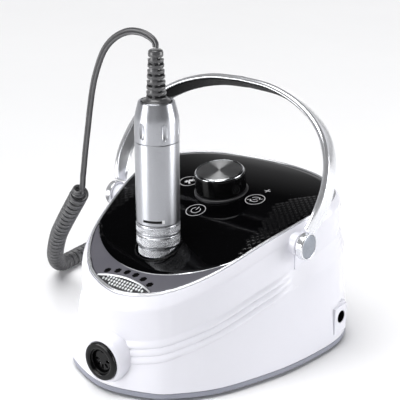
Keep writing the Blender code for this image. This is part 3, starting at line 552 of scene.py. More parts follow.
# ---- camera, floor and light
def camera():
    az, el = math.radians(VIEW_AZIMUTH_DEG), math.radians(VIEW_ELEVATION_DEG)
    back = Vector((math.sin(az) * math.cos(el), -math.cos(az) * math.cos(el), math.sin(el)))
    data = bpy.data.cameras.new("view")
    data.lens = LENS
    data.sensor_width = 36
    data.clip_end = 30
    obj = add("view", data)
    obj.location = (Vector(VIEW_TARGET) + back * VIEW_DISTANCE) * MM
    obj.rotation_euler = back.to_track_quat("Z", "Y").to_euler()
    bpy.context.scene.camera = obj


def softbox(name, place, power):
    data = bpy.data.lights.new(name, "AREA")
    data.shape = "RECTANGLE"
    data.size, data.size_y = SOFTBOX_SIZE[0] * MM, SOFTBOX_SIZE[1] * MM
    data.energy = power
    lamp = add(name, data)
    lamp.location = Vector(place) * MM
    lamp.rotation_euler = (Vector(place) - Vector(SOFTBOX_AIM)).to_track_quat("Z", "Y").to_euler()


def sky():
    """Surroundings that fade with height and are bright toward one side."""
    world = bpy.data.worlds.new("studio")
    bpy.context.scene.world = world
    world.use_nodes = True
    coords = node(world, "TexCoord")
    split = node(world, "SeparateXYZ")
    ramp = node(world, "ValToRGB")
    ends = ramp.color_ramp.elements[0], ramp.color_ramp.elements[1]
    for end, (position, value) in zip(ends, (SKY_STOPS[0], SKY_STOPS[-1])):
        end.position = position
        end.color = (value, value, value, 1)
    for position, value in SKY_STOPS[1:-1]:
        ramp.color_ramp.elements.new(position).color = (value, value, value * 1.02, 1)
    toward = node(world, "VectorMath", operation="DOT_PRODUCT")
    toward.inputs[1].default_value = SKY_BRIGHT_SIDE
    sector = node(world, "MapRange", From_Min=0.1, From_Max=0.8, To_Min=0.22)
    background = world.node_tree.nodes["Background"]
    wire(world, coords, "Generated", split, 0)
    wire(world, coords, "Generated", toward, 0)
    wire(world, toward, "Value", sector, "Value")
    wire(world, split, "Z", ramp, "Fac")
    wire(world, ramp, "Color", background, "Color")
    wire(world, sector, "Result", background, "Strength")


def studio():
    corners = [(x * FLOOR_HALF, y * FLOOR_HALF, 0) for x, y in ((-1, -1), (1, -1), (1, 1), (-1, 1))]
    floor = solid("studio_floor", corners, [(0, 1, 2, 3)], FLOOR)
    sky()
    sun = bpy.data.lights.new("overhead", "SUN")
    sun.energy = OVERHEAD_POWER
    sun.angle = math.radians(OVERHEAD_SPREAD_DEG)
    add("overhead", sun).rotation_euler = Vector(OVERHEAD_FROM).to_track_quat("Z", "Y").to_euler()
    for name, (place, power) in SOFTBOXES.items():
        softbox(name, place, power)
    bpy.context.scene.view_settings.view_transform = "Standard"


# ---- cord
def twin_section(half_gap, core):
    """Outline of two round cores side by side, joined by a web where they don't meet."""
    turn = math.acos(-min(half_gap / core, 0.87))
    t = np.linspace(-turn, turn, 11)
    across, thick = half_gap + core * np.cos(t), core * np.sin(t)
    return np.concatenate((across, -across)), np.concatenate((thick, -thick))


def unit(rows):
    return rows / np.linalg.norm(rows, axis=1)[:, None]


def along_axis():
    """Middle line of the whole cord as points, with the distances where the coil starts and ends."""
    line = smooth_path(LEAD_ROUTE + HANG_ROUTE + FLOOR_ROUTE + TAIL_ROUTE, CORD_SPANS)
    reach = np.concatenate(([0], np.cumsum(np.linalg.norm(np.diff(line, axis=0), axis=1))))
    coil_in = reach[CORD_SPANS * len(LEAD_ROUTE)]
    coil_out = reach[CORD_SPANS * (len(LEAD_ROUTE) + len(HANG_ROUTE) + len(FLOOR_ROUTE) - 1)]
    marks = np.arange(0, reach[-1], CORD_STEP)
    dense = np.stack([np.interp(marks, reach, line[:, k]) for k in range(3)], axis=1)
    return dense, marks, coil_in, coil_out


def carried_frames(line):
    """A pair of directions across the line that never twist about it."""
    ahead = unit(np.gradient(line, axis=0))
    side = np.cross(ahead[0], (0, 1, 0))
    sides = []
    for step in ahead:
        side = side - step * np.dot(side, step)
        side = side / np.linalg.norm(side)
        sides.append(side)
    sides = np.array(sides)
    return sides, np.cross(ahead, sides)


def cord():
    """Twin cord along the routes, wound round their middle line in the coil."""
    axis, marks, coil_in, coil_out = along_axis()
    first, second = carried_frames(axis)
    grip = ease((marks - coil_in) / COIL_EASE_IN) * ease((coil_out - marks) / COIL_EASE_OUT)
    phase = 2 * math.pi / COIL_PITCH * np.cumsum(grip) * (marks[1] - marks[0])
    outward = np.cos(phase)[:, None] * first + np.sin(phase)[:, None] * second
    coil_r = COIL_D / 2 - 1.25
    centre = axis + outward * (coil_r * grip)[:, None]
    lying = ease((marks - coil_out - 4) / 16)
    centre[:, 2] -= 0.55 * lying * ease((6 - axis[:, 2]) / 3)
    in_coil = grip > 0
    keep = [k for k in range(len(marks)) if in_coil[k] or k % 12 == 0 or k == len(marks) - 1]
    ahead = unit(np.gradient(centre, axis=0))
    flat = np.cross(ahead, (0, 0, 1))
    flat *= np.sign(np.sum(flat * outward, axis=1))[:, None]
    along = unit(np.gradient(axis, axis=0))
    wide = outward * ((1 - grip) * (1 - lying))[:, None] + along * grip[:, None] + flat * lying[:, None]
    wide -= ahead * np.sum(wide * ahead, axis=1)[:, None]
    wide = unit(wide)
    thin = np.cross(ahead, wide)
    rows = []
    for k in keep:
        w, t = twin_section(0.98 + 0.30 * grip[k], 1.14 - 0.26 * grip[k])
        rows.append(centre[k] + w[:, None] * wide[k] + t[:, None] * thin[k])
    piece = skin("curly_cord", rows, RUBBER, caps=True, sharp=60)
    path = [tuple(p) for p in centre[keep] * MM]
    length = float(np.sum(np.linalg.norm(np.diff(centre[keep], axis=0), axis=1))) * MM
    return piece, path, length


def plug():
    """Round five pin plug lying behind the box: ribbed grip, metal shroud and pins."""
    x = low("plug_shell")[0]
    y, z = ((low("plug_shell") + high("plug_shell")) / 2)[1:]
    axis = facing((x, y, z), (1, 0, 0))
    shell_length = high("plug_shell")[0] - x
    profile = [(0, shell_length), (6.4, shell_length, 0.6), (7.5, shell_length - 1.6, 0.8)]
    for k in range(8):
        at_z = shell_length - 3.2 - 1.7 * k
        profile += [(7.5, at_z, 0.3), (7, at_z - 0.4, 0.2), (7, at_z - 0.8, 0.2), (7.5, at_z - 1.2, 0.3)]
    profile += [(7.2, 14, 1), (4.6, 9, 1.5), (3.5, 0.6, 0.3), (3, 0), (0, 0)]
    shell = put(turned("plug_body", profile, DARK, axis), "box", "plug_shell")
    start = shell_length + 0.3
    end = high("plug_ring")[0] - x
    shroud = put(turned("plug_shroud", [(6.3, end, 0.2), (6.6, end - 0.3, 0.2), (6.6, start), (5.7, start),
        (5.7, end)], BRIGHT, axis, closed=True), "box", "plug_ring")
    core = put(turned("plug_core", [(0, start + 3), (5.2, start + 3, 0.3), (5.2, start), (0, start)], DARK,
        axis), "box", "plug_insert")
    pieces = [shell, shroud, core]
    for k in range(5):
        a = math.radians(180 + 45 * k)
        spot = axis @ at(3.3 * math.cos(a), 3.3 * math.sin(a), start + 2.6)
        pieces.append(put(turned(f"plug_pin_{k}", [(0, 5.2), (0.5, 5, 0.2), (0.7, 4.5), (0.7, 0), (0, 0)],
            BRIGHT, spot, 20), "box"))
    return pieces


def relief():
    """Segmented strain relief: rings joined by spines that sit a quarter turn apart, level by level."""
    foot, top = low("strain_relief")[2], high("strain_relief")[2]
    turn = math.radians(24)
    angles = whole_turn(120)
    flange = [(0, foot), (7, foot), (8.4, foot + 2), (8.4, 164.6), (8.1, 165.2), (7.4, 165.4),
        (6.6, 165.7), (6.1, 166.4)]
    rows = [circle(r, z, angles, HP_Y) for r, z in flange]
    pitch = (top - 2.6 - 166.6) / 8
    for z in np.arange(166.6, top - 0.6, 0.17):
        level = (z - 166.6) / pitch
        phase = level % 1
        body = 5.75 - 1.75 * (z - 166.6) / (top - 166.6)
        window = ease((phase - 0.14) / 0.12) * ease((0.62 - phase) / 0.12) * (level < 8)
        bulge = 0.22 * math.sin(math.pi * ((phase + 0.38) % 1))
        front = np.abs(np.sin(angles + math.pi / 2 - turn))
        side = np.abs(np.cos(angles + math.pi / 2 - turn))
        if int(level) % 2:
            gap = ease((front - 0.42) / 0.12)
        else:
            gap = ease((front - 0.10) / 0.10) * ease((side - 0.05) / 0.05 + 1)
        radius = body + bulge - (body - 2.5) * window * gap
        rows.append(circle(radius, z, angles, HP_Y))
    rows += [circle(r, z, angles, HP_Y) for r, z in ((3.7, top - 0.25), (3.2, top), (0, top))]
    return put(skin("relief_boot", rows, RUBBER, sharp=50), "handpiece", "strain_relief")


def cords():
    line, path, length = cord()
    pieces = plug()
    boot = relief()
    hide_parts("cord_lead", "cord_coil_hang", "cord_coil_floor", "cord_tail")
    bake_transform(line)
    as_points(path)


# ---- control box
def band_fade():
    y = CENTRE_Y + share_radius(THETAS, 0.4) * np.cos(THETAS)
    return np.where(y < 0, np.clip(-y / 12, 0, 1), np.clip((y - 44) / 14, 0, 1))


def ridge_rows():
    """(share, depth, ridge height) down the band: rounded ribs with a crisp groove between."""
    pitch = (BAND_BOTTOM - BAND_TOP) / RIDGES
    rows = []
    for k in range(RIDGES):
        for u in np.linspace(0, 1, 11)[:-1]:
            lift = 0.75 * math.sin(math.pi * u) ** 0.8
            rows.append((0.37 + 0.08 * (k + u), BAND_TOP + (k + u) * pitch, lift))
    rows.append((0.61, BAND_BOTTOM, 0))
    return rows


def housing():
    fade = band_fade()
    upper = [(-0.26, LEDGE + 2.2), (-0.26, LEDGE), (0.055, LEDGE), (0.055, 0.35), (0.065, 0.22),
        (0.09, 0.45), (0.29, 4.3), (0.32, 4.85), (0.345, 5.5), (0.358, 6.3), (0.36, 7.5), (0.36, 12),
        (0.36, 18), (0.36, BAND_TOP - 1), (0.361, BAND_TOP - 0.4)]
    rings = [ring_at(share_radius(THETAS, s), d) for s, d in upper]
    rings += [ring_at(share_radius(THETAS, s) + lift * fade, d) for s, d, lift in ridge_rows()]
    foot = rings[-1][:, 2]
    skirt = smooth_path([(0.61, 0), (0.69, 0.2), (0.76, 0.4), (0.835, 0.58), (0.90, 0.75), (0.955, 0.88),
        (0.978, 0.94), (0.985, 0.97), (0.98, 0.99), (0.968, 1)], 3)
    for share, part in skirt[1:]:
        rings.append(ring_at(share_radius(THETAS, share), z=foot + (SHELL_BOTTOM - foot) * min(part, 1)))
    rings.append(ring_at(share_radius(THETAS, 1) - WALL, z=SHELL_BOTTOM))
    for share, depth in ((0.61, BAND_BOTTOM), (0.36, BAND_TOP - 2), (0.34, 8.5)):
        rings.append(ring_at(share_radius(THETAS, share) - WALL, depth))
    shell = skin("housing_skin", rings, WHITE, loop=True)
    seat = DIN_R + 0.3
    bore = din_at(26.4)
    hole = [(0, 34), (seat, 34), (seat, 22.6), (10, 22.6), (10, 0), (0, 0)]
    tools = [turned("din_bore", hole, WHITE, bore)]
    boss_profile = [(0, 15.2), (12.9, 15.2, 0.9), (14.1, 14, 1.2), (15.4, 8, 2), (16.2, 1.5), (0, 1.5)]
    boss = turned("din_boss", boss_profile, WHITE, din_at(17.4))
    carve(boss, [turned("din_bore_2", hole, WHITE, bore), block("boss_foot", (-30, -110, -10),
        (30, -50, SHELL_BOTTOM), WHITE)])
    put(boss, "box")
    for side in (-1, 1):
        tools.append(drill(f"pivot_hole_{side}", 3.9, 30, WHITE, beside(side, 55, PIVOT), 48))
        tools.append(drill(f"jack_bore_{side}", JACK_R + 0.3, 40, WHITE, beside(side, 55, JACK), 64))
        seam = (side * share_radius(math.pi / 2, 0.36), PIVOT_Y - 1.6, 64)
        tools.append(block(f"seam_{side}", (-1.1, -0.35, 0.5), (1.1, 0.35, 22), WHITE, 0.1, 1, at(*seam)))
        side_pieces(side)
    carve(shell, tools)
    put(shell, "box", "housing_shell")


def side_pieces(side):
    """Raised spot round the handle pivot and the pad of the rear jack."""
    boss = turned(f"pivot_spot_{side}", [(3.9, 0), (6.8, 0), (6.8, 4.7, 0.5), (3.9, 4.7)], WHITE,
        beside(side, 67.2, PIVOT), closed=True)
    put(boss, "box")
    near = sorted((side * 70, side * JACK_FACE_X))
    pad = block(f"jack_pad_{side}", (near[0], JACK_Y - 9, 9), (near[1], JACK_Y + 8, 30), WHITE, 1.8, 5)
    carve(pad, [drill(f"pad_bore_{side}", JACK_R + 0.3, 40, WHITE, beside(side, 55, JACK), 64)])
    put(pad, "box")


def base():
    rows = [(0, BASE_BOTTOM), (0.90, BASE_BOTTOM), (0.935, BASE_BOTTOM + 0.05), (0.955, BASE_BOTTOM
        + 0.25), (0.97, BASE_BOTTOM + 0.7), (0.975, BASE_BOTTOM + 1.3), (0.975, BASE_TOP), (0, BASE_TOP)]
    rings = [ring_at(share_radius(THETAS, s) * (s > 0), z=z) for s, z in rows]
    plate = skin("base_skin", rings, BASE_GREY)
    tools = []
    for k in range(1, 5):
        mid = (low(f"base_screw_{k}") + high(f"base_screw_{k}")) / 2
        tools.append(turned(f"sink_{k}", [(0, 3.7), (3.4, 3.7), (3.4, -2), (0, -2)], BASE_GREY,
            at(mid[0], mid[1], 0), 48))
        tools.append(turned(f"sink_hole_{k}", [(0, 9), (1.7, 9), (1.7, 3), (0, 3)], BASE_GREY,
            at(mid[0], mid[1], 0), 32))
    for k in range(7):
        x = (k - 3) * 5
        tools.append(block(f"air_slot_{k}", (x - 1, 10, -1), (x + 1, 34, 9), BASE_GREY, 0.6, 2))
    carve(plate, tools)
    put(plate, "box", "base_plate")


def trim():
    rows = [(0.025, LEDGE - 0.3), (0.025, 0), (0.020, -0.22), (0.008, -0.36), (-0.012, -0.40),
        (-0.022, -0.36), (-0.028, -0.12), (-0.040, -0.10), (-0.046, -0.34), (-0.056, -0.40),
        (-0.078, -0.38), (-0.092, -0.24), (-0.10, 0), (TRIM_SHARE, LEDGE - 0.3)]
    rings = [ring_at(share_radius(THETAS, s), d) for s, d in rows]
    put(skin("rim_trim", rings, STRAP, loop=True, sharp=50), "box", "panel_trim")


def knob_matrix(rise):
    tilt = math.radians(KNOB_TILT_DEG)
    axis = Vector((0, -math.sin(tilt), math.cos(tilt)))
    seat = low("knob_seat") + high("knob_seat")
    y = seat[1] / 2
    start = Vector((0, y, top_z(y))) + axis * rise
    return facing(tuple(start), axis)


def panel():
    rows = []
    for inset, depth in ((0, PANEL_THICK), (0, 0.22), (0.07, 0.07), (0.25, 0)):
        rows.append(ring_at(panel_radius(THETAS, inset), depth))
    for f in np.linspace(1, 0, 26)[1:]:
        rows.append(ring_at(panel_radius(THETAS, 0.25) * f, 0))
    for f in (0, 0.5, 1):
        rows.append(ring_at(panel_radius(THETAS, 0.25 * (f < 1)) * f, PANEL_THICK))
    face = skin("panel_face", rows, PANEL)
    seat_r = (high("knob_seat") - low("knob_seat"))[0] / 2 + 0.1
    carve(face, [drill("well_hole", HP_R + 0.7, 60, PANEL, at(0, HP_Y, 40), 160), drill("knob_pocket",
        seat_r, 8, PANEL, knob_matrix(-1.3)), drill("shaft_way", 4.2, 30, PANEL, knob_matrix(-15), 48)])
    put(face, "box", "control_panel")
    front = np.linspace(math.pi - 1.02, math.pi + 1.02, 120)
    lip = [ring_at(panel_radius(front) + out, depth, thetas=front) for out, depth in ((0.30, 0.15),
        (0.26, -0.12), (0.02, -0.16), (-0.12, 0.02))]
    put(skin("panel_front_line", lip, CHROME, around=False), "box")
    put(turned("well_lip", [(HP_R + 0.75, -3), (HP_R + 0.75, 0.25, 0.2), (HP_R + 1.3, 0.3, 0.2),
        (HP_R + 1.7, 0)], BLACK, facing((0, HP_Y, top_z(HP_Y)), (0, -math.sin(math.atan(0.384)),
        math.cos(math.atan(0.384)))), 160), "box")


def nose_plate(name, top, inner, outer, thetas, mat):
    """Close the rows of a top face with an underside and skin them."""
    under = [ring_at(edge, PANEL_THICK, thetas=thetas) for edge in (outer, inner)]
    return skin(name, np.array(top + under).transpose(1, 0, 2), mat, caps=True)


def bezel():
    """Slate crescent between panel and grille, with six tilted slots, each filled almost to its top with a
    black block as painted shade.
    """
    gap = 0.3
    half = next(a for a in np.arange(1.3, 0.3, -0.002) if share_radius(math.pi - a, PANEL_SHARE)
        - ray_to_circle(math.pi - a, PANEL_FRONT_Y, PANEL_FRONT_R) - gap > 0.6)
    thetas = np.linspace(math.pi - half, math.pi + half, 200)
    inner = ray_to_circle(thetas, PANEL_FRONT_Y, PANEL_FRONT_R) + gap
    outer = np.minimum(share_radius(thetas, PANEL_SHARE) - 0.1, lens_radius(thetas) - gap)
    top = []
    for f in np.linspace(0, 1, 14):
        edge = min(f, 1 - f) * 14
        top.append(ring_at(inner + (outer - inner) * f, 0.18 * max(0, 1 - edge), thetas=thetas))
    plate = nose_plate("bezel_face", top, inner, outer, thetas, SLATE)
    tools = []
    for k in range(6):
        offset = k - 2.5
        x = offset * SLOT_PITCH
        y = SLOT_Y - 0.48 * offset * offset
        fall = math.atan(TOP_SLOPE - 2 * TOP_BEND * (y - TOP_Y))
        here = facing((x, y, top_z(y)), (0, -math.sin(fall), math.cos(fall)))
        here = here @ Matrix.Rotation(math.radians(38 - 3 * offset), 4, "Z")
        w, h = SLOT_SIZE
        tools.append(block(f"slot_{k}", (-w / 2, -h / 2, -1.9), (w / 2, h / 2, 6), SLATE, 0.9, 3, here))
        # Painted shade: a black block fills the slot to 0.2 below its top, standing in for the shade inside
        # it.
        floor = block(f"slot_floor_{k}", (-w / 2 - 0.2, -h / 2 - 0.2, -2), (w / 2 + 0.2, h / 2 + 0.2,
            -0.2), BLACK, 0.1, 1, here)
        put(floor, "box")
    carve(plate, tools)
    put(plate, "box", "nose_bezel")


def grille():
    """Dark lens under rows of bright round beads, inside a bright edge."""
    half = next(a for a in np.arange(0.5, 0.05, -0.001) if share_radius(math.pi - a, PANEL_SHARE)
        - lens_radius(math.pi - a) > 0.5)
    thetas = np.linspace(math.pi - half, math.pi + half, 120)
    inner = lens_radius(thetas)
    outer = share_radius(thetas, PANEL_SHARE) - 0.1
    top = [ring_at(inner + (outer - inner) * f, 0.35, thetas=thetas) for f in np.linspace(0, 1, 8)]
    put(nose_plate("grille_back", top, inner, outer, thetas, GRILLE_BACK), "box", "vent_grille")
    rings = [ring_at(inner + out, depth, thetas=thetas) for out, depth in ((0, 0.4), (0.05, -0.12),
        (0.35, -0.30), (0.75, -0.22), (0.9, 0.4))]
    put(skin("grille_edge", np.array(rings).transpose(1, 0, 2), SILVER, caps=True), "box")
    put(beads(), "box")


def beads():
    """All the grille's beads as one mesh of small domes."""
    points, faces = [], []
    sides, levels = 12, ((0.80, 0), (0.76, 0.24), (0.56, 0.46), (0.28, 0.58))
    for row in range(-2, 9):
        y = LENS_TOP_Y - 0.9 - row * BEAD_PITCH * 0.90
        for col in range(-18, 19):
            x = col * BEAD_PITCH
            theta = math.atan2(x, y - CENTRE_Y)
            r = math.hypot(x, y - CENTRE_Y)
            if r < lens_radius(theta) + 1.1 or r > share_radius(theta, PANEL_SHARE) - 0.7:
                continue
            start = len(points)
            for radius, lift in levels:
                for k in range(sides):
                    a = 2 * math.pi * k / sides
                    px, py = x + radius * math.cos(a), y + radius * math.sin(a)
                    points.append((px, py, top_z(py) - 0.36 + lift))
            points.append((x, y, top_z(y) + 0.19))
            for level in range(len(levels) - 1):
                for k in range(sides):
                    n = (k + 1) % sides
                    a, b = start + level * sides, start + (level + 1) * sides
                    faces.append((a + k, a + n, b + n, b + k))
            last = start + (len(levels) - 1) * sides
            for k in range(sides):
                faces.append((last + k, last + (k + 1) % sides, start + len(levels) * sides))
    return solid("grille_beads", points, faces, SILVER, sharp=80)


# ---- panel print
def ribbon(points, width, closed=False):
    """Flat line on the panel: a strip of quads along the points."""
    pts = np.array(points, float)
    if closed:
        ahead = np.roll(pts, -1, axis=0) - np.roll(pts, 1, axis=0)
    else:
        ahead = np.gradient(pts, axis=0)
    ahead = unit(ahead)
    across = np.stack((-ahead[:, 1], ahead[:, 0]), axis=1) * width / 2
    return pts + across, pts - across, closed


def arc(cx, cy, r, start, end, count=24):
    angles = np.radians(np.linspace(start, end, count))
    return [(cx + r * math.cos(a), cy + r * math.sin(a)) for a in angles]


def print_on_panel(name, strips):
    points, faces = [], []
    for left, right, closed in strips:
        start = len(points)
        for a, b in zip(left, right):
            points.append((a[0], a[1], top_z(a[1]) + 0.045))
            points.append((b[0], b[1], top_z(b[1]) + 0.045))
        count = len(left)
        for k in range(count if closed else count - 1):
            n = (k + 1) % count
            faces.append((start + 2 * k, start + 2 * k + 1, start + 2 * n + 1, start + 2 * n))
    obj = solid(name, points, faces, ICON)
    return put(obj, "box")


def ring(cx, cy):
    return ribbon(arc(cx, cy, ICON_RING, 0, 352, 60), ICON_LINE, closed=True)


def icons():
    """Generic key marks: power, direction, hand or foot, plus and minus."""
    w = ICON_LINE
    power = [ring(0, -3.4), ribbon(arc(0, -3.4, 2.9, 125, 415, 36), w * 1.1), ribbon([(0, -3.4), (0, 0.3)],
        w * 1.1)]
    print_on_panel("icon_power", power)
    cx, cy = 26.8, 22
    turn = [ring(cx, cy), ribbon(arc(cx, cy, 2.8, 20, 165, 20), w), ribbon(arc(cx, cy, 2.8, 200, 345, 20),
        w), ribbon([(cx + 1.6, cy + 3.2), (cx + 2.7, cy + 1), (cx + 4.3, cy + 2.6)], w),
        ribbon([(cx - 1.6, cy - 3.2), (cx - 2.7, cy - 1), (cx - 4.3, cy - 2.6)], w),
        ribbon([(cx - 1, cy - 1), (cx + 1.2, cy + 1.2)], w)]
    print_on_panel("icon_direction", turn)
    cx, cy = -27, 23.3
    sole = [(cx - 1.5 + 0.4 * math.cos(a), cy - 2.4 + 2.6 * t) for a, t in ((0, 0), (0, 0.5), (0, 1))]
    mode = [ring(cx, cy), ribbon(sole, 1.9), ribbon([(cx - 0.6, cy + 0.6), (cx + 1.9, cy + 1.9)], 2.2),
        ribbon([(cx + 1.2, cy + 2.4), (cx + 0.4, cy + 3.9)], w),
        ribbon([(cx + 2, cy + 2), (cx + 2.1, cy + 3.9)], w), ribbon([(cx + 2.6, cy + 1.3),
        (cx + 3.7, cy + 2.9)], w), ribbon([(cx + 0.3, cy - 0.4), (cx + 2.6, cy - 2.6)], 1.2)]
    print_on_panel("icon_mode", mode)
    print_on_panel("icon_plus", [ribbon([(25, 34.6), (29.6, 34.6)], 0.6),
        ribbon([(27.3, 32.3), (27.3, 36.9)], 0.6)])
    print_on_panel("icon_minus", [ribbon([(-29.6, 34.6), (-25, 34.6)], 0.6)])


ZONE_EDGE = ((51, -35), (48.6, -26), (47.9, -14.4), (46, 2), (41.5, 19), (46, 31), (55, 43), (66, 51))


def scales():
    """Fields of small overlapping scales beside the rim, one each side."""
    edge = smooth_path(ZONE_EDGE, 8)
    for side, word in ((-1, "left"), (1, "right")):
        points, faces = [], []
        for i in range(-40, 60):
            for j in range(-40, 60):
                x = (i + j) * SCALE_SIZE * 0.98
                y = (i - j) * SCALE_SIZE * 0.98
                if x < 30 or x > 72 or y < -40 or y > 56:
                    continue
                inner = np.interp(y, edge[:, 1], edge[:, 0])
                r, theta = math.hypot(x, y - CENTRE_Y), math.atan2(x, y - CENTRE_Y)
                if x < inner + 1.2 or r > share_radius(theta, PANEL_SHARE) - 1.9:
                    continue
                start = len(points)
                s = SCALE_SIZE * 0.93
                corners = ((-s, 0, 0.03), (0, -s, 0.12), (s, 0, 0.03), (0, s, 0.02), (0.25 * s, -0.3 * s,
                    0.20))
                for dx, dy, lift in corners:
                    points.append((side * (x + dx), y + dy, top_z(y + dy) + lift))
                for k in range(4):
                    faces.append((start + k, start + (k + 1) % 4, start + 4))
        field = solid(f"scale_field_{word}", points, faces, WEAVE, sharp=5)
        put(field, "box")


# ---- sockets
def din_socket():
    face = din_at(1.4)
    flange = [(DIN_R - 0.2, 0.9, 0.3), (DIN_R, 0.5, 0.2), (DIN_R, -2), (9.7, -2), (9.7, -18), (8.2, -18),
        (8.2, -8), (7.1, -8), (7.1, -0.2, 0.4), (7.7, -0.3, 0.2), (7.9, 0.9, 0.5), (8.8, 1.4, 0.6),
        (10.4, 1.35, 0.8)]
    put(turned("din_face", flange, BLACK, face, closed=True), "box", "din_flange")
    insert = turned("din_core", [(0, -1.7), (6.2, -1.7, 0.3), (6.2, -3.2, 0.2), (7, -3.4), (7, -11.6),
        (0, -11.6)], BLACK, face, 96)
    tools = [block("key_way", (-1.2, 4.9, -7), (1.2, 8.5, 0), DARK, 0.2, 2, face)]
    for k in range(5):
        petal = face @ Matrix.Rotation(math.radians(180 + 45 * k), 4, "Z")
        tools.append(block(f"petal_{k}", (2.5, -0.75, -7), (5.4, 0.75, 0), DARK, 0.3, 2, petal))
    carve(insert, tools)
    put(insert, "box", "din_insert")
    for k in range(5):
        a = math.radians(180 + 45 * k)
        tube = [(0.62, -2.6), (0.62, -6), (0.36, -6), (0.36, -2.6)]
        put(turned(f"din_contact_{k}", tube, BRIGHT, face @ at(4.4 * math.cos(a), 4.4 * math.sin(a), 0),
            32, closed=True), "box")


def jack(name, side):
    face = beside(side, JACK_FACE_X - 0.2, JACK)
    r = JACK_R
    barrel = [(r, -12), (r, -0.2, 0.15), (r - 0.25, 0.1, 0.15), (3.75, 0.1, 0.15), (3.5, -0.3, 0.2),
        (3.5, -10.5), (0, -10.5), (0, -12)]
    put(turned(f"{name}_barrel", barrel, BLACK, face, 64), "box", f"{name}_jack")
    pin = [(0, -5.6), (0.5, -5.8, 0.2), (0.85, -6.3, 0.2), (0.85, -10.6), (0, -10.6)]
    put(turned(f"{name}_pin", pin, BRIGHT, face, 24), "box")


def well():
    lo, hi = low("handpiece_well"), high("handpiece_well")
    r = hi[0]
    put(turned("well_tube", [(0, 37), (r - 2.6, 37), (r - 1.6, 38.6, 0.8), (r - 1.6, hi[2] - 0.6, 0.3),
        (r - 1.2, hi[2], 0.2), (r, hi[2], 0.3), (r, lo[2]), (r - 2, lo[2]), (r - 2, 34.6), (0, 34.6)],
        BLACK, at(0, HP_Y, 0)), "box", "handpiece_well")


# ---- handle
def lean_point(x, reach, forward):
    lean = math.radians(LEAN_DEG)
    return (x, PIVOT_Y + reach * math.sin(lean) - forward * math.cos(lean), PIVOT_Z
        + reach * math.cos(lean) + forward * math.sin(lean))


def band_line(steps):
    half_line = smooth_path(HANDLE_STATIONS, steps)
    left = [(-x, h) for x, h in half_line[:-1]]
    return np.array(left + [tuple(p) for p in half_line[::-1]])


def width_at(height):
    """Strap width at a height above the pivots."""
    curve = smooth_path(BAND_WIDTHS, 6)
    return float(np.interp(height, curve[:, 0], curve[:, 1]))


def section_along(line, outline):
    """Carry an outline of (forward, outward) points, given per station, along the handle."""
    rows = []
    for k, point in enumerate(line):
        ahead = line[min(k + 1, len(line) - 1)] - line[max(k - 1, 0)]
        ahead = ahead / np.linalg.norm(ahead)
        normal = np.array((-ahead[1], ahead[0]))
        rows.append([lean_point(*(point + normal * off), forward) for forward, off in outline(point[1])])
    return rows


def band_outline(height):
    """Rounded strap with a crowned back, a bright rim at each edge and a dished inner face."""
    w, t = width_at(height) / 2, BAND_THICK / 2
    corners = [(-w, -t, 0.7), (-w, 0.2, 0.6), (-w + 1.3, t, 0.9), (0, t + 0.25, 3), (w - 1.3, t, 0.9),
        (w, 0.2, 0.6), (w, -t, 0.7), (w - 1.2, -t, 0.4), (w - 1.9, -t + 0.45, 0.5), (-w + 1.9, -t + 0.45,
        0.5), (-w + 1.2, -t, 0.4)]
    return fillet(corners, steps=4)


def handle():
    line = band_line(12)
    put(skin("handle_strap", section_along(line, band_outline), STRAP, caps=True, sharp=40), "handle",
        "handle_band")
    crest = np.array([p for p in line if p[1] > 68])

    def lining(height):
        reach = max(0.05, min(1, (height - 67.5) / 11)) ** 0.5
        w = (width_at(height) / 2 - 1.25) * reach
        t = -BAND_THICK / 2
        return fillet([(-w, t + 0.3, 0.2), (-w, t - 0.12, 0.15), (-w + 0.6, t - 0.45, 0.5),
            (w - 0.6, t - 0.45, 0.5), (w, t - 0.12, 0.15), (w, t + 0.3, 0.2)], steps=3)

    put(skin("handle_lining", section_along(crest, lining), LINING, caps=True, sharp=40), "handle",
        "handle_grip")
    thick = HUB_OUTER_X - HUB_INNER_X
    for side, word in ((-1, "left"), (1, "right")):
        hub = beside(side, HUB_INNER_X, PIVOT)
        profile = [(0, thick - 0.6), (HUB_R - 1, thick - 0.6), (HUB_R - 0.9, thick - 0.1, 0.2),
            (HUB_R - 0.5, thick, 0.3), (HUB_R, thick - 0.6, 0.5), (HUB_R, 0.5, 0.4), (HUB_R - 0.5, 0, 0.2),
            (0, 0)]
        put(turned(f"hub_cover_{word}", profile, STRAP, hub), "handle", f"handle_hub_{word}")
        face = [(0, thick), (HUB_R * 0.5, thick - 0.05), (HUB_R - 1.1, thick - 0.2, 0.3), (HUB_R - 1, thick
            - 0.7)]
        put(turned(f"hub_face_{word}", face, SATIN, hub), "handle")
        spacer = beside(side, 71.9 + 0.3, PIVOT)
        ring = [(6.4, 0.7, 0.2), (6.4, 0), (3.6, 0), (3.6, -6.4), (2.8, -6.4), (2.8, 0.7)]
        put(turned(f"pivot_spacer_{word}", ring, ACETAL, spacer, 96, closed=True), "box",
            f"pivot_bush_{word}")


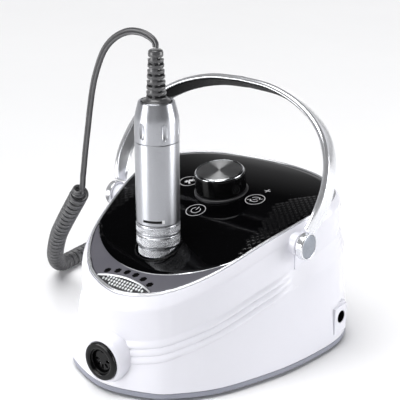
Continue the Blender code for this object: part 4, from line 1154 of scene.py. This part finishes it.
# ---- knob
def knob():
    r, h = KNOB_R, KNOB_HEIGHT
    seat = knob_matrix(0)
    put(turned("knob_base_ring", [(r + 0.5, 0.9, 0.2), (r + 1.1, 0.5, 0.3), (r + 1.1, -1), (6, -1),
        (6, 0.9)], DARK, seat, closed=True), "box", "knob_seat")
    here = knob_matrix(1.2)
    side_profile = [(0, h - 1.3), (r - 2, h - 1.3), (r - 2, h - 0.25, 0.1), (r - 1.9, h - 0.15),
        (r - 1.75, h - 0.2), (r - 0.55, h - 0.95, 0.3), (r, h - 1.6, 0.5), (r, 1, 0.4), (r - 0.5, 0.35,
        0.3), (r - 2.4, 0.35), (r - 2.4, h - 4), (6.4, h - 4), (6.4, 2.4), (3.3, 2.4), (3.3, h - 3.6),
        (0, h - 3.6)]
    put(turned("knob_side", side_profile, BLACK, here, 160), "speed_knob", "knob")
    put(turned("knob_bright_edge", [(r - 1.75, h - 0.13, 0.1), (r - 1.55, h + 0, 0.1), (r - 1.35, h - 0.05,
        0.1), (r - 0.60, h - 0.72, 0.1), (r - 0.50, h - 0.98)], POLISHED, here, 160), "speed_knob")
    put(turned("knob_spun_top", [(0, h - 0.15), (2, h - 0.13), (r - 2.35, h - 0.1, 0.1),
        (r - 2.1, h - 0.35), (r - 2.1, h - 1.2), (0, h - 1.2)], SPUN, here, 160), "speed_knob", "knob_cap")


# ---- handpiece
def handpiece():
    here = at(0, HP_Y, 0)
    r = HP_R
    seam = low("handpiece_rear_cap")[2]
    bottom = low("handpiece_body")[2]
    inner = r - 1.8
    body = turned("grip_tube", [(r - 0.15, seam - 0.2), (r, seam - 0.4, 0.1), (r, bottom + 0.35, 0.2),
        (r - 0.3, bottom, 0.2), (inner, bottom), (inner, seam - 0.3)], ALU, here, 160, closed=True)
    slots = []
    for k in range(3):
        middle = 26 + 120 * k
        lo_deg, hi_deg = middle - 27, middle + 27
        slots.append(arc_block(f"slot_{k}", (r - 0.7, r + 1), (lo_deg, hi_deg), (94.5, 96.1), ALU, here,
            40))
        # Painted shade: a black block fills each slot to 0.35 below the surface, standing in for the shade
        # inside it.
        put(arc_block(f"slot_floor_{k}", (r - 1.2, r - 0.35), (lo_deg - 0.5, hi_deg + 0.5), (94.3, 96.3),
            BLACK, here, 40), "handpiece")
    carve(body, slots)
    put(body, "handpiece", "handpiece_body")
    put(arc_block("open_mark", (r - 0.6, r + 0.04), (51.2, 58.2), (94.2, 96.5), MARK, here, 12),
        "handpiece")
    top = high("handpiece_rear_cap")[2]
    shoulder = 155.7
    cap = turned("rear_cap_shell", [(9.6, top - 0.1, 0.2), (10.2, top, 0.3), (10.6, top - 0.5, 0.5),
        (r - 0.25, shoulder + 0.6, 1.6), (r, shoulder - 1.6, 1.2), (r, seam + 0.2, 0.1), (r - 0.15, seam),
        (inner, seam), (inner, shoulder - 4), (9.2, shoulder - 2), (9.2, top - 0.7, 0.3)], ALU, here, 160,
        closed=True)
    flutes = []
    oval = [(0, 5.4), (0.8, 5.2), (1.5, 4.5), (2, 3.3), (2.25, 1.6), (2.3, 0), (2.25, -1.6), (2, -3.3),
        (1.5, -4.5), (0.8, -5.2), (0, -5.4)]
    for k in range(FLUTES):
        turn = here @ Matrix.Rotation(math.radians(360 / FLUTES * k), 4, "Z")
        flutes.append(turned(f"flute_{k}", oval, ALU, turn @ at(0, -r - 1, 149), 40))
    carve(cap, flutes)
    put(cap, "handpiece", "handpiece_rear_cap")
    nose(here, r)


def knurled(name, profile, bands, mat, here):
    """Turned ring whose bands carry crossed diagonal cuts."""
    angles = whole_turn(KNURL_CELLS * 6)
    rows = []
    pts = fillet(profile, steps=3)
    for k, (r, z) in enumerate(pts):
        rows.append((r, z, 0))
        nr, nz = pts[(k + 1) % len(pts)]
        for lo, hi in bands:
            upright = abs(nr - r) < 0.05 and r > 11 and abs(z - nz) > 2
            if upright and min(z, nz) >= lo - 0.05 and max(z, nz) <= hi + 0.05:
                for f in np.linspace(0, 1, 24)[1:-1]:
                    rows.append((r, z + (nz - z) * f, 1))
    rings = []
    for r, z, cutting in rows:
        slant = z * KNURL_CELLS / r
        turn = angles * KNURL_CELLS
        facets = np.abs(np.sin(turn / 2 + slant / 2) * np.sin(turn / 2 - slant / 2))
        radius = r - cutting * 0.55 * (1 - facets) ** 1.2
        rings.append(circle(radius, z, angles))
    return skin(name, rings, mat, loop=True, matrix=here, sharp=80)


def nose(here, r):
    top, bottom = high("lock_collar")[2], low("lock_collar")[2]
    collar = [(r - 0.1, top, 0.2), (r + 0.05, top - 0.5, 0.1), (r - 0.35, top - 0.7, 0.1), (r - 0.35, top
        - 1, 0.1), (r + 0.2, top - 1.2, 0.2), (r + 0.2, 86.6, 0.3), (r - 0.5, 85.9, 0.4), (r - 0.5, 84.9,
        0.4), (r + 0.15, 84.3, 0.2), (r + 0.15, 79.2, 0.3), (r - 0.7, 78.5, 0.4), (r - 0.7, bottom),
        (9.6, bottom), (9.6, top)]
    ring = knurled("collar_knurl", collar, ((86.4, top - 1), (79, 84.5)), KNURL, here)
    put(ring, "lock_ring", "lock_collar")
    high_z, tip = high("handpiece_nose")[2], low("handpiece_nose")[2]
    cone = [(11.6, high_z, 0.2), (12.2, high_z - 0.5, 0.2), (12.2, 72.6, 0.3), (11.7, 72.1, 0.3),
        (10.6, 71.2, 0.8), (9.6, 64, 3), (8, 56, 2), (5.4, 50.6, 0.8), (5.2, tip, 0.3), (3.4, tip),
        (3.4, 55), (8.4, 66), (8.4, high_z)]
    put(knurled("nose_cone", cone, ((72.2, high_z),), KNURL, here), "handpiece", "handpiece_nose")
    chuck_top, chuck_tip = high("collet_chuck")[2], low("collet_chuck")[2]
    chuck = turned("chuck_sleeve", [(0, chuck_top), (5, chuck_top), (5, 62, 0.5), (2.9, 56, 0.5),
        (2.9, chuck_tip + 0.8, 0.3), (2.3, chuck_tip, 0.3), (1.3, chuck_tip), (1.3, 60), (0, 60)], BRIGHT,
        here, 64)
    carve(chuck, [block(f"jaw_slit_{k}", (0.9, -0.15, chuck_tip - 1), (4, 0.15, chuck_tip + 5), BRIGHT,
        0.03, 1, here @ Matrix.Rotation(math.radians(120 * k), 4, "Z")) for k in range(3)])
    put(chuck, "spindle", "collet_chuck")


# ---- CAD pieces that stay
def dress_cad():
    kept = {"foot": FOOT, "base_screw": BRIGHT, "din_nut": BRIGHT, "main_board": BOARD, "power_coil": DARK,
        "heat_sink": BRIGHT, "filter_capacitor": SLEEVE, "speed_driver": DARK, "pivot_pin": BRIGHT,
        "speed_shaft": BRIGHT, "speed_control": DARK, "front_bearing": BRIGHT, "rear_bearing": BRIGHT,
        "motor_rotor": COPPER, "motor_can": DARK, "brush_cap": DARK}
    for obj in bpy.data.objects:
        for stem, mat in kept.items():
            if obj.type == "MESH" and obj.name.startswith(stem) and obj.name in frame["nodes"]:
                for slot in obj.material_slots:
                    slot.material = mat


def build():
    camera()
    studio()
    cords()
    housing()
    base()
    trim()
    panel()
    bezel()
    grille()
    icons()
    scales()
    din_socket()
    jack("power", 1)
    jack("pedal", -1)
    well()
    handle()
    knob()
    handpiece()
    dress_cad()


build()
